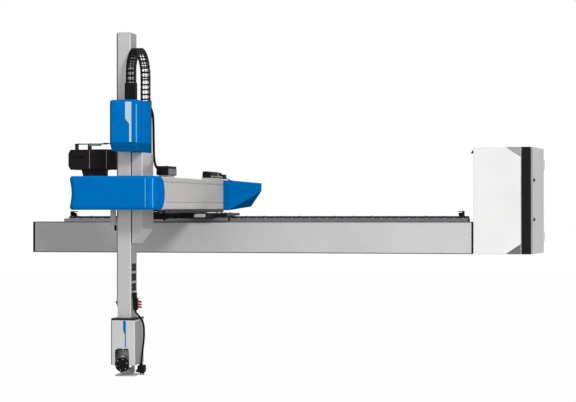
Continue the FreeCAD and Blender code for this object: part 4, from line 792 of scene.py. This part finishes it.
def beam_side_strip():
    """The dark guard along the demoulding beam's lower edge, beside its guide rails."""
    low, high = span("demoulding_beam")
    count = 9
    pitch = (high.y - low.y - 190) / (count - 1)
    shapes = Shapes()
    shapes.block((high.x, low.y + 40, low.z - 20), (high.x + 2.8, high.y - 64, low.z + 3), OXIDE, 0.6)
    shapes.screws([(high.x + 2.6, low.y + 80 + i * pitch, low.z - 4) for i in range(count)], X, 2.6)
    shapes.piece("rail_guard", "demoulding")


def head_side_plate():
    """The pale plate that hangs below the front cover, left of the arm, with its black clip."""
    top = span("head_shelves")[0].z
    x0, x1, y = -719.0, -684.0, -806.0
    shapes = Shapes()
    shapes.block((x0, y - 6, top - 124), (x1, y + 6, top + 0.5), MILLED, 1.5)
    shapes.block((x1 - 8, y - 10, top - 156), (x1 + 2, y + 10, top - 122), BLACK, 2.0)
    shapes.screws([((x0 + x1) / 2, y - 6, z) for z in (top - 50, top - 100)], -Y)
    shapes.piece("head_side_plate_with_clip", "demoulding")


def terminal_box_piece():
    """The terminal box on the demoulding beam with its lid, screws and two plugs."""
    low, high = span("connector_box")
    shapes = Shapes("connector_box")
    shapes.block((low.x + 10, low.y + 20, low.z), (high.x - 10, high.y - 20, low.z + 13), MILLED)
    shapes.block((low.x, low.y, low.z + 12), (high.x, high.y, high.z - 14), BLACK, 4.0)
    shapes.block((low.x + 2, low.y + 2, high.z - 15), (high.x - 2, high.y - 2, high.z), BLACK, 3.0)
    shapes.block((high.x - 3, low.y + 6, low.z + 16), (high.x + 1, high.y - 6, high.z - 17), DRIVE)
    shapes.screws([(x, y, high.z) for x in (low.x + 8, high.x - 8) for y in (low.y + 8, high.y - 8)], Z, 3.2)
    for x in (low.x + 18, low.x + 40):
        shapes.turned((x, low.y + 2, (low.z + high.z) / 2 + 3), -Y,
                      [(0, 9), (6, 9), (7, 7), (20, 7), (22, 4), (30, 4)], BLACK, 18)
    shapes.piece("terminal_box")


def valve_piece():
    """The row of air valves on the demoulding beam, with the plug blocks at its rear end."""
    low, high = span("valve_block")
    shapes = Shapes("valve_block")
    shapes.block(low, (high.x, high.y, low.z + 14), MILLED, 1.2)
    count = 8
    pitch = (high.y - low.y - 12) / count
    for i in range(count):
        y = low.y + 6 + i * pitch
        middle = y + pitch / 2
        shapes.block((low.x + 6, y + 1, low.z + 14), (high.x - 6, y + pitch - 1, high.z - 6),
                     DRIVE if i == 5 else BLACK, 2.0)
        shapes.block((low.x + 10, y + 6, high.z - 6), (low.x + 30, y + pitch - 6, high.z), BLACK, 1.5)
        shapes.fitting((high.x - 22, middle, high.z - 6), Z, 5, 2, 3.6, 6, NICKEL if i % 2 else ORANGE)
        shapes.fitting((high.x - 6, middle, low.z + 24), X, 5.5, 5, 4, 10, NICKEL)
    shapes.block((low.x + 12, high.y - 3, low.z + 16), (high.x - 12, high.y + 12, high.z - 10), ORANGE, 2.0)
    shapes.block((low.x + 10, high.y + 11, low.z + 10), (high.x + 2, high.y + 100, low.z + 44), BLACK, 3.0)
    shapes.block((low.x + 22, high.y + 99, low.z + 14), (high.x - 10, high.y + 130, low.z + 34), BLACK, 4.0)
    shapes.piece("valve_terminal")


def chain_link(divider):
    """One link of the cable chain about the origin: cheeks with their overlap, crossbars and separators."""
    shapes = Shapes()
    half = 29.2
    deep = 16.8
    end = 15.5
    for side in (-1, 1):
        shapes.block((side * (half - 4), -deep, -end - 2), (side * half, deep, end - 4), BLACK, 2.0)
        shapes.block((side * (half - 8), 1 - deep, 5 - end), (side * (half - 4), deep - 1, end + 2),
                     BLACK, 2.0)
        shapes.rod((side * (half - 0.5), 0, 4 - end), X * side, 5.0, 1.2, BLACK, 0.4, 16)
    for y in (-deep, deep - 4):
        shapes.block((5 - half, y, -4), (half - 5, y + 4, 4), BLACK, 1.2)
    for x in (-8, 8):
        shapes.block((x - divider, 1 - deep, 1 - end), (x + divider, 9 - deep, end - 1), BLACK, 0.5)
    return shapes


def curve(name, points, kind="NURBS"):
    """A curve with these points in metres."""
    line = bpy.data.curves.new(name, "CURVE")
    line.dimensions = "3D"
    spline = line.splines.new(kind)
    spline.points.add(len(points) - 1)
    for point, place in zip(spline.points, points):
        point.co = (*place, 1)
    if kind == "NURBS":
        spline.order_u = 3
        spline.use_endpoint_u = True
    return line


def length_of(points):
    """The length of a line of points."""
    return sum((b - a).length for a, b in zip(points, points[1:]))


def arm_chain_piece(facts):
    """The arm's cable chain: two legs and the arch between them, grown along a curve."""
    low, high = span("arm_chain")
    x = (low.x + high.x) / 2
    radius = 155.0
    steps = 16
    front = low.y + 17
    rear = front + 2 * radius
    top = high.z - radius - 17.5
    foot = min(ends[0].z for ends in islands("arm_chain") if ends[0].y > -800)
    front_run = [(x, front, low.z + 15), (x, front, top)]
    for i in range(1, steps + 1):
        angle = math.pi * i / steps
        front_run.append((x, front + radius - radius * math.cos(angle), top + radius * math.sin(angle)))
    rear_run = [(x, rear, top - 16), (x, rear, foot + 15)]
    for name, run, divider, nodes in (("arm_chain_front_and_arch", front_run, 2.2, ("arm_chain",)),
                                      ("arm_chain_rear_leg", rear_run, 0.9, ())):
        points = [Vector(point) * MM for point in run]
        count = round(length_of(points) / facts.link_pitch) + 1
        mesh = copies("links along a curve", along_curve, chain_link(divider), BLACK, {"Count": count},
                      curve(name, points, "POLY"))
        finished(name, mesh, "arm_chain", nodes)


def arm_piece():
    """The vertical arm: profile with its right side in painted shade, dark grey strips of painted shade, a
    painted highlight along its front right edge, small hook, blanking plates and caps.
    """
    low, high = span("arm_profile")
    shapes = Shapes("arm_profile", UPRIGHT, 0.0)
    # The arm's right-facing faces in a darker grey: painted shade
    shapes.repaint(SHADED_SIDE_ALUMINIUM, lambda face: face.normal.x > 0.9)
    shapes.piece("arm_extrusion")
    shapes = Shapes()
    # Dark grey strips along the arm's left front edge: painted shade
    shapes.block((low.x - 5, low.y + 4, low.z + 66), (low.x, low.y + 26, low.z + 620), DEEP_SHADE_GREY, 0.8)
    shapes.block((low.x - 2.5, low.y - 0.8, low.z + 622), (low.x + 6, low.y + 22, high.z - 2),
                 DEEP_SHADE_GREY, 0.4)
    # A near-white strip on the arm's front right corner: painted highlight
    shapes.block((high.x - 5, low.y - 0.8, low.z + 4), (high.x + 0.4, low.y + 3, high.z - 4), EDGE_HIGHLIGHT, 0.4)
    root = low.x - 1
    tip = low.x - 17
    hook = [(root, low.z + 96), (tip, low.z + 98), (tip, low.z + 88), (root, low.z + 58)]
    shapes.plate(standing(low.y + 20, hook), (0, 16, 0), OXIDE)
    shapes.piece("arm_edge_strip_and_hook", "arm")
    shapes = Shapes("arm_side_plates", BLACK, 0.8)
    for low, high in islands("arm_side_plates"):
        shapes.screws([(high.x - 1.5, y, (low.z + high.z) / 2) for y in (low.y + 7, high.y - 7)], X, 3.0)
    shapes.piece("arm_blanking_plates")
    dress_all({"arm_end_caps": (UPRIGHT, 1.2)})


def wrist_cover_piece():
    """The wrist's enamelled cover with its blue flash, a dark edge of painted shade, two slots and a side
    plate in painted shade.
    """
    low, high = span("wrist_cover")
    shapes = Shapes("wrist_cover", "wrist white enamel", 0.25)
    middle = (low.x + high.x) / 2
    x = middle + 20
    flash = [(x - 6, low.z + 112), (x, low.z + 112), (x, high.z - 2), (x - 18, high.z - 2),
             (x - 18, high.z - 62), (x - 6, high.z - 90)]
    shapes.plate(standing(low.y + 0.5, flash), (0, -1.3, 0), BLUE, 0.3)
    # A dark grey strip along the cover's left front edge: painted shade
    shapes.block((low.x - 0.6, low.y - 0.8, low.z + 4), (low.x + 4, low.y + 2, high.z - 2), DEEP_SHADE_GREY, 0.4)
    for x in (middle - 34, middle + 6):
        shapes.block((x, low.y - 1.5, low.z + 96), (x + 30, low.y + 3, low.z + 104), BLACK, 0.8)
    # A grey plate on the cover's right side: painted shade on that side
    shapes.block((high.x - 0.5, low.y + 12, low.z + 6), (high.x + 1.5, high.y - 12, high.z - 6),
                 "dark side enamel", 0.8)
    places = [(y, z) for y in (low.y + 24, high.y - 24) for z in (low.z + 20, high.z - 20)]
    shapes.side_screws(low.x + 0.3, high.x + 1.2, places, 3.4)
    shapes.piece("wrist_cover_with_screws")
    Shapes("wrist_plate", OXIDE).piece("wrist_adapter_plate")


def wrist_actuator_piece():
    """The wrist's round actuator: a housing with its ring of screws, and a rod behind it."""
    low, high = span("wrist_actuator")
    centre = Vector(((low.x + high.x) / 2, low.y, low.z + 45))
    shapes = Shapes("wrist_actuator")
    shapes.turned(centre + Y * 26, -Y, [(0, 41), (3, 45), (20, 45), (22, 43), (23, 43), (26, 38)], BLACK, 40)
    shapes.turned(centre + Y * 1.5, -Y, [(0, 30), (1.0, 30), (1.4, 27)], OXIDE, 40)
    angles = [math.pi * i / 3 + 0.3 for i in range(6)]
    shapes.screws([centre + Vector((34 * math.cos(a), 0.5, 34 * math.sin(a))) for a in angles], -Y, 3.2)
    shapes.rod((centre.x, high.y, centre.z + 40), -Y, 14, high.y - low.y - 25, MILLED, 0.5, 24)
    shapes.piece("wrist_actuator_with_screws")


def wrist_fittings():
    """The red air couplings on their manifold, the plug block with its plugs and the hose gland."""
    low, high = span("air_fittings")
    shapes = Shapes("air_fittings")
    shapes.block((low.x, low.y - 12, low.z - 16), (low.x + 19, high.y + 10, high.z + 14), BLACK, 2.0)
    lean = (X - Z * 0.18).normalized()
    coupling = [(0, 6), (2, 7.6), (14, 7.6), (17, 5.5), (19, 7), (30, 6.2), (33, 4), (38, 3.6)]
    for first, last in islands("air_fittings"):
        at = Vector((first.x, (first.y + last.y) / 2, (first.z + last.z) / 2))
        shapes.fitting(at, X, 6.5, 7, 5, 12, NICKEL)
        shapes.turned(at + X * 10, lean, coupling, "red acetal", 18)
    shapes.piece("red_air_couplings")
    low, high = span("tool_connector")
    y = (low.y + high.y) / 2
    shapes = Shapes("tool_connector", BLACK, 1.5)
    for i in range(3):
        shapes.fitting((high.x - 2, y - 16, low.z + 9 + i * 13), X, 5.5, 5, 4, 9, BLACK, 14, 1)
        shapes.fitting((low.x + 10 + i * 11, y, low.z + 2), -Z, 5.5, 9, 4, 20, BLACK, 14, 1)
    for dy in (-18, 2, 20):
        shapes.fitting((low.x + 2, y + dy, low.z + 12 + dy * 0.3), -X, 7, 8, 5.5, 16, BLACK, 16, 1)
    shapes.piece("tool_plug_block")
    dress_all({"hose_gland": (BLACK, 1.5)})


def evenly(places, step):
    """Points at an even step along a line of points."""
    out = [places[0]]
    left = step
    for a, b in zip(places, places[1:]):
        run = (b - a).length
        start = 0.0
        while run - start > left:
            start += left
            out.append(a.lerp(b, start / run))
            left = step
        left -= run - start
    return out


def hose_mesh(places, side, radii, sides=20):
    """A tube round a line whose rings take their radius from a repeating list."""
    angles = [2 * math.pi * k / sides for k in range(sides)]
    rings = []
    for i, place in enumerate(places):
        ahead = places[min(i + 1, len(places) - 1)] - places[max(i - 1, 0)]
        ahead.normalize()
        across = (side - ahead * side.dot(ahead)).normalized()
        other = ahead.cross(across)
        radius = radii[i % len(radii)]
        rings.append([place + (across * math.cos(a) + other * math.sin(a)) * radius for a in angles])
    shape = bmesh.new()
    skin(shape, rings)
    mesh = bpy.data.meshes.new("hose")
    shape.to_mesh(mesh)
    shape.free()
    return mesh


# Control points in metres of the corrugated hose, and of the cables on the head and the demoulding beam
HOSE_ROUTE = [(-0.5305, -0.916, -0.288), (-0.5305, -0.916, -0.340), (-0.4915, -0.916, -0.380),
              (-0.468, -0.916, -0.418), (-0.464, -0.916, -0.480), (-0.469, -0.916, -0.545),
              (-0.478, -0.916, -0.605), (-0.484, -0.916, -0.668)]
HEAD_LOOM = [(-0.480, -0.716, 0.940), (-0.468, -0.704, 0.905), (-0.466, -0.703, 0.820),
             (-0.465, -0.703, 0.720), (-0.464, -0.702, 0.640), (-0.458, -0.704, 0.590),
             (-0.438, -0.720, 0.552), (-0.410, -0.740, 0.545)]
MOTOR_CABLE = [(-0.768, -0.800, 0.7135), (-0.740, -0.802, 0.7150), (-0.700, -0.830, 0.7060),
               (-0.672, -0.842, 0.6990), (-0.655, -0.846, 0.6960)]
VALVE_CABLE = [(-0.364, 0.704, 0.5210), (-0.360, 0.735, 0.5210), (-0.345, 0.775, 0.5090),
               (-0.325, 0.815, 0.4980), (-0.310, 0.850, 0.4945)]
HOSE_RADIUS = 0.007
LOOM_RADIUS = 0.008


def smooth_line(route):
    """The smooth line of a cord through its route's control points, in metres."""
    line = curve("cord line", route)
    line.resolution_u = 24
    return [v.co.copy() for v in worked_out(linked("cord line", line)).vertices]


def hose_piece(facts):
    """The corrugated hose from the arm's gland to the tool plug."""
    places = smooth_line(HOSE_ROUTE)
    radii = [HOSE_RADIUS, HOSE_RADIUS, HOSE_RADIUS * 0.8, HOSE_RADIUS * 0.8]
    mesh = hose_mesh(evenly(places, facts.rib_step), Y, radii)
    mesh.materials.append(finish(RUBBER))
    hose = finished("wrist_corrugated_hose", mesh, "arm", ("wrist_hose",), 80.0)


def cable_pieces(facts):
    """The black cables of the arm's motor, of the valves and of the head."""
    thin = facts.cable_radius
    for name, route, radius in (("motor_cable", MOTOR_CABLE, thin), ("valve_cable", VALVE_CABLE, thin),
                                ("head_loom", HEAD_LOOM, LOOM_RADIUS)):
        line = curve(name, route)
        line.resolution_u = 16
        line.bevel_depth = radius
        line.bevel_resolution = 4
        line.use_fill_caps = True
        line.materials.append(finish(RUBBER))
        cable = linked(name, line)
        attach(cable, "demoulding")
        length_of(smooth_line(route))


def cabinet_outside():
    """The control cabinet: body, front panel, corner sheets painted with light and shade, band, door with
    painted shade on its front faces, rear louvres and cable entries.
    """
    dress_all({"cabinet_body": (LIGHT_GREY, 0.0)})
    Shapes("cabinet_front_panel", "white powder coat", 2.5).piece("cabinet_front_sheet")
    low, high = span("cabinet_front_panel")
    cut_x = 100.0
    cut_z = 66.0
    shapes = Shapes()
    # The cut corners as thin sheets: mid grey on the top one and dark grey on the bottom one, painted light
    # and shade of facets that face up and down
    for z, inner, paint in ((high.z, high.z - cut_z, PAINTED_SHADE_GREY), (low.z, low.z + cut_z, DEEP_SHADE_GREY)):
        corner = [(high.x - cut_x + 4, z), (high.x - 1, z), (high.x - 1, inner)]
        shapes.plate(standing(high.y - 1.5, corner), (0, 1.4, 0), paint, 0.3)
    shapes.piece("cabinet_corner_sheets", "traverse")
    dress_all({"cabinet_band": (BLACK, 1.0)})
    shapes = Shapes("cabinet_door", LIGHT_GREY, 2.0)
    # The door's front-facing faces get a mid grey: painted shade along its front edge
    shapes.repaint(PAINTED_SHADE_GREY, lambda face: face.normal.y < -0.7)
    shapes.piece("cabinet_door_finished")
    low, high = span("cabinet_body")
    middle = (low.x + high.x) / 2
    half = 70.0
    louvre_pitch = 15.0
    louvre = Shapes()
    louvre.block((-half, -0.2, -2.5), (half, 3.2, 2.5), LIGHT_GREY, 2.0)
    row("cabinet_rear_louvres", louvre, (middle, high.y, 420), (middle, high.y, 600), louvre_pitch,
        LIGHT_GREY)
    shapes = Shapes()
    for i in range(5):
        shapes.fitting((low.x + 70 + i * 48, high.y - 70, 2), -Z, 15, 2, 12, 4, BLACK, 20)
    shapes.block((low.x + 40, high.y - 0.5, 60), (high.x - 120, high.y + 3, 150), OXIDE)
    shapes.piece("cabinet_cable_entries", "traverse")


def cabinet_inside():
    """The drives, supply and relays behind the cabinet's door."""
    shapes = Shapes("servo_drives", DRIVE, 2.0)
    for low, high in islands("servo_drives"):
        if high.z - low.z < 200:
            continue
        middle = (low.y + high.y) / 2
        faces = [(low.z + 20 + k * 9, low.z + 25 + k * 9, 22, 1.5, BLACK, 0.6) for k in range(7)]
        faces.append((high.z - 70, high.z - 40, 16, 2, BLACK, 1.0))
        faces.append((high.z - 28, high.z - 12, 24, 3, GREEN, 1.0))
        for foot, top, half, proud, paint, bevel in faces:
            shapes.block((high.x - 1, middle - half, foot), (high.x + proud, middle + half, top),
                         paint, bevel)
    shapes.piece("servo_drives_with_terminals")
    dress_all({"cabinet_mounting_plate": (MILLED, 1.0)})


# Nodes whose CAD shape is already right: finish, edge softening in millimetres
PLAIN_TRAVERSE = {"traverse_beam": ("powder coated steel grey", 0.0), "traverse_rails": (RAIL, 0.8),
                  "traverse_rack": (RACK, 0.0)}
PLAIN_CABINET = {"cabinet_hinges": (LIGHT_GREY, 0.5), "cabinet_door_leaves": (LIGHT_GREY, 0.5),
                 "upper_door_latch": (BLACK, 0.8), "lower_door_latch": (BLACK, 0.8)}
PLAIN_DEMOULDING = {"traverse_pinion": (RACK, 0.0), "cross_pinion": (RACK, 0.0),
                    "demoulding_beam": ("anodised aluminium, lengthwise", 0.0),
                    "demoulding_rails": (RAIL, 0.8), "demoulding_rack": (RACK, 0.0),
                    "rear_end_plate": (MILLED, 1.0)}
PLAIN_HEAD = {"head_shelves": (MILLED, 0.8), "upper_frame": (MILLED, 0.8), "chain_guide": (BLACK, 1.0),
              "chain_trough": (OXIDE, 1.0), "arm_pinion": (RACK, 0.0)}
PLAIN_ARM = {"arm_rail": (RAIL, 0.8), "arm_rack": (RACK, 0.0), "wrist_block": (MILLED, 1.0),
             "swivel_shaft": (RAIL, 0.5), "tool_flange": (MILLED, 1.0)}

# The floor lies below the tool's place when the arm is at its lowest
FLOOR_Z = -1.42
FLOOR_HALF = 30.0
# Share of the floor that shows as plain white. The rest keeps a trace of the object's shadow.
FLOOR_WHITE = 0.985
WORLD_LIGHT = 0.42
# Name, place, aim, diameter in metres and power in watts
LAMPS = [
    ("key", (3.3, -5.7, 4.2), (0.4, 0.0, 0.1), 2.0, 300.0),
    ("fill", (-3.0, -7.0, 1.0), (-0.6, 0.0, 0.3), 3.0, 30.0),
    ("top", (0.0, 0.5, 5.0), (0.0, 0.0, 0.0), 3.0, 60.0),
    ("beam wash", (2.0, -2.2, -0.8), (1.2, -0.1, 0.1), 1.0, 16.0),
]


def seen_directly(tree):
    """1 for a ray from the camera, a mirror image or through glass, 0 for light that falls on something."""
    rays = add_node(tree, "ShaderNodeLightPath").outputs
    seen = add_node(tree, "ShaderNodeMath", {0: rays["Is Camera Ray"], 1: rays["Is Transmission Ray"]},
                    operation="MAXIMUM").outputs[0]
    return add_node(tree, "ShaderNodeMath", {0: seen, 1: rays["Is Glossy Ray"]},
                    operation="MAXIMUM").outputs[0]


def make_world(light):
    """Soft light all round that shows as plain white."""
    world = bpy.data.worlds.new("studio")
    bpy.context.scene.world = world
    world.use_nodes = True
    tree = world.node_tree
    tree.nodes.clear()
    seen = seen_directly(tree)
    lit = add_node(tree, "ShaderNodeBackground", {"Color": (1, 1, 1, 1), "Strength": WORLD_LIGHT * light})
    shown = add_node(tree, "ShaderNodeBackground", {"Color": (1, 1, 1, 1), "Strength": 1.0})
    mixed = add_node(tree, "ShaderNodeMixShader", {0: seen, 1: lit.outputs[0], 2: shown.outputs[0]})
    add_node(tree, "ShaderNodeOutputWorld", {"Surface": mixed.outputs[0]})


def make_floor():
    """A wide pale floor."""
    floor = bpy.data.meshes.new("floor")
    corners = [(x * FLOOR_HALF, y * FLOOR_HALF, FLOOR_Z) for x, y in ((-1, -1), (1, -1), (1, 1), (-1, 1))]
    floor.from_pydata(corners, [], [(0, 1, 2, 3)])
    paper = bpy.data.materials.new("white studio floor")
    paper.use_nodes = True
    tree = paper.node_tree
    tree.nodes.clear()
    matt = add_node(tree, "ShaderNodeBsdfDiffuse", {"Color": (0.35, 0.35, 0.35, 1)})
    glow = add_node(tree, "ShaderNodeEmission", {"Color": (1, 1, 1, 1), "Strength": 1.0})
    seen = add_node(tree, "ShaderNodeMath", {0: seen_directly(tree), 1: FLOOR_WHITE},
                    operation="MULTIPLY").outputs[0]
    mixed = add_node(tree, "ShaderNodeMixShader", {0: seen, 1: matt.outputs[0], 2: glow.outputs[0]})
    add_node(tree, "ShaderNodeOutputMaterial", {"Surface": mixed.outputs[0]})
    floor.materials.append(paper)
    linked("floor", floor)


def make_stage(facts):
    """Pale floor and backdrop, soft studio light and the camera at the photograph's place."""
    scene = bpy.context.scene
    scene.view_settings.view_transform = "Standard"
    make_world(facts.light)
    make_floor()
    for name, place, aim, size, power in LAMPS:
        data = bpy.data.lights.new(name, "AREA")
        data.shape = "DISK"
        data.size = size
        data.energy = power * facts.light
        lamp = linked(name, data)
        lamp.location = place
        lamp.rotation_euler = (Vector(aim) - Vector(place)).to_track_quat("-Z", "Y").to_euler()
    data = bpy.data.cameras.new("camera")
    data.lens = facts.lens
    data.sensor_width = 36.0
    data.shift_y = facts.shift
    data.clip_end = 100.0
    camera = linked("camera", data)
    camera.location = facts.camera_place
    camera.rotation_euler = facts.camera_turn
    scene.camera = camera


def colour_choice(name, description, hex_colour):
    """A colour property whose default is an sRGB hex colour."""
    return bpy.props.FloatVectorProperty(name=name, description=description, default=linear(hex_colour),
                                         subtype="COLOR", min=0.0, max=1.0)


def distance(name, description, default, low):
    """A length property in metres."""
    return bpy.props.FloatProperty(name=name, description=description, default=default, min=low,
                                   subtype="DISTANCE", unit="LENGTH")


CAMERA_TURN = (math.pi / 2, math.radians(0.065), math.radians(11.907))


class StageFacts(bpy.types.PropertyGroup):
    """Light and camera."""

    light: bpy.props.FloatProperty(name="Light", description="Share of the studio's full light",
                                   default=1.0, min=0.1, max=3.0)
    lens: bpy.props.FloatProperty(name="Lens", description="Focal length of the camera in millimetres",
                                  default=103.4, min=20.0)
    shift: bpy.props.FloatProperty(name="Shift", description="Vertical shift of the camera's picture",
                                   default=0.0117, precision=4)
    camera_place: bpy.props.FloatVectorProperty(name="Camera place", description="Where the camera stands",
                                                default=(2.552, -10.857, 0.303), subtype="TRANSLATION",
                                                unit="LENGTH")
    camera_turn: bpy.props.FloatVectorProperty(name="Camera turn", description="Which way the camera looks",
                                               default=CAMERA_TURN, subtype="EULER", unit="ROTATION")


class ColourFacts(bpy.types.PropertyGroup):
    """Main colours."""

    covers: colour_choice("Covers", "Colour of the three moulded covers", "#0079CD")
    traverse: colour_choice("Traverse beam", "Colour of the powder coated steel tube", "#C4C4C3")
    demoulding: colour_choice("Demoulding beam", "Colour of the anodised cross beam", "#C4C2BD")
    arm: colour_choice("Arm", "Colour of the anodised arm", "#C3C3C2")
    cabinet: colour_choice("Cabinet", "Colour of the cabinet's front sheet", "#E6E6E5")


class DetailFacts(bpy.types.PropertyGroup):
    """Sizes of the repeated details."""

    rail_pitch: distance("Rail screw pitch", "Distance between two rail screws", 0.060, 0.02)
    rack_pitch: distance("Rack screw pitch", "Distance between two rack screws", 0.120, 0.03)
    link_pitch: distance("Chain pitch", "Distance between two links of the chain", 0.031, 0.01)
    rib_step: distance("Hose rib step", "A quarter of the hose's rib pitch", 0.0016, 0.0005)
    cable_radius: distance("Cable radius", "Radius of the thin cables", 0.0035, 0.001)


class GANTRY_OT_stage(bpy.types.Operator):
    """Set up the floor, the light and the camera"""
    bl_idname = "gantry.stage"
    bl_label = "Stage"

    def execute(self, context):
        make_stage(context.scene.gantry_stage)
        return {"FINISHED"}


class GANTRY_OT_traverse(bpy.types.Operator):
    """Build the traverse beam with its rails, rack, caps and stops"""
    bl_idname = "gantry.traverse"
    bl_label = "Traverse beam"

    def execute(self, context):
        dress_all(PLAIN_TRAVERSE)
        traverse_screws(context.scene.gantry_detail)
        beam_ends()
        return {"FINISHED"}


class GANTRY_OT_cabinet(bpy.types.Operator):
    """Build the control cabinet, outside and inside"""
    bl_idname = "gantry.cabinet"
    bl_label = "Cabinet"

    def execute(self, context):
        dress_all(PLAIN_CABINET)
        cabinet_outside()
        cabinet_inside()
        return {"FINISHED"}


class GANTRY_OT_carriage(bpy.types.Operator):
    """Build the carriage with its guide carriages and motors"""
    bl_idname = "gantry.carriage"
    bl_label = "Carriage"

    def execute(self, context):
        carriage_piece()
        guide_carriages()
        carriage_motors()
        return {"FINISHED"}


class GANTRY_OT_demoulding(bpy.types.Operator):
    """Build the demoulding beam with its boxes and valves"""
    bl_idname = "gantry.demoulding"
    bl_label = "Demoulding beam"

    def execute(self, context):
        dress_all(PLAIN_DEMOULDING)
        beam_side_strip()
        terminal_box_piece()
        valve_piece()
        return {"FINISHED"}


class GANTRY_OT_head(bpy.types.Operator):
    """Build the head's metalwork and the arm's motor"""
    bl_idname = "gantry.head"
    bl_label = "Head"

    def execute(self, context):
        dress_all(PLAIN_HEAD)
        head_metal()
        head_side_plate()
        arm_motor_piece()
        return {"FINISHED"}


class GANTRY_OT_covers(bpy.types.Operator):
    """Build the three blue covers"""
    bl_idname = "gantry.covers"
    bl_label = "Blue covers"

    def execute(self, context):
        front_cover_piece()
        upper_cover_piece()
        rear_cover_piece()
        return {"FINISHED"}


class GANTRY_OT_chain(bpy.types.Operator):
    """Build the arm's cable chain"""
    bl_idname = "gantry.chain"
    bl_label = "Cable chain"

    def execute(self, context):
        arm_chain_piece(context.scene.gantry_detail)
        return {"FINISHED"}


class GANTRY_OT_arm(bpy.types.Operator):
    """Build the vertical arm"""
    bl_idname = "gantry.arm"
    bl_label = "Arm"

    def execute(self, context):
        dress_all(PLAIN_ARM)
        arm_piece()
        return {"FINISHED"}


class GANTRY_OT_wrist(bpy.types.Operator):
    """Build the wrist and its couplings"""
    bl_idname = "gantry.wrist"
    bl_label = "Wrist"

    def execute(self, context):
        wrist_cover_piece()
        wrist_actuator_piece()
        wrist_fittings()
        return {"FINISHED"}


class GANTRY_OT_cords(bpy.types.Operator):
    """Build the corrugated hose and the three black cables"""
    bl_idname = "gantry.cords"
    bl_label = "Hose and cables"

    def execute(self, context):
        hose_piece(context.scene.gantry_detail)
        cable_pieces(context.scene.gantry_detail)
        return {"FINISHED"}


class GANTRY_PT_panel(bpy.types.Panel):
    """Buttons for every part of the gantry robot"""
    bl_idname = "GANTRY_PT_panel"
    bl_label = "Gantry robot"
    bl_space_type = "VIEW_3D"
    bl_region_type = "UI"
    bl_category = "Gantry robot"

    def draw(self, context):
        scene = context.scene
        for facts in (scene.gantry_stage, scene.gantry_colours, scene.gantry_detail):
            box = self.layout.box()
            for field in facts.bl_rna.properties:
                if field.identifier not in ("rna_type", "name"):
                    box.prop(facts, field.identifier)
        for operator in OPERATORS:
            self.layout.operator(operator.bl_idname)


OPERATORS = (GANTRY_OT_stage, GANTRY_OT_traverse, GANTRY_OT_cabinet, GANTRY_OT_carriage,
             GANTRY_OT_demoulding, GANTRY_OT_head, GANTRY_OT_covers, GANTRY_OT_chain, GANTRY_OT_arm,
             GANTRY_OT_wrist, GANTRY_OT_cords)
CLASSES = (StageFacts, ColourFacts, DetailFacts, *OPERATORS, GANTRY_PT_panel)


def register():
    for made in CLASSES:
        bpy.utils.register_class(made)
    bpy.types.Scene.gantry_stage = bpy.props.PointerProperty(type=StageFacts)
    bpy.types.Scene.gantry_colours = bpy.props.PointerProperty(type=ColourFacts)
    bpy.types.Scene.gantry_detail = bpy.props.PointerProperty(type=DetailFacts)


def unregister():
    del bpy.types.Scene.gantry_detail
    del bpy.types.Scene.gantry_colours
    del bpy.types.Scene.gantry_stage
    for made in reversed(CLASSES):
        bpy.utils.unregister_class(made)


def main():
    register()
    bpy.ops.gantry.stage()
    bpy.ops.gantry.traverse()
    bpy.ops.gantry.cabinet()
    bpy.ops.gantry.carriage()
    bpy.ops.gantry.demoulding()
    bpy.ops.gantry.head()
    bpy.ops.gantry.covers()
    bpy.ops.gantry.chain()
    bpy.ops.gantry.arm()
    bpy.ops.gantry.wrist()
    bpy.ops.gantry.cords()


if __name__ == "__main__":
    main()
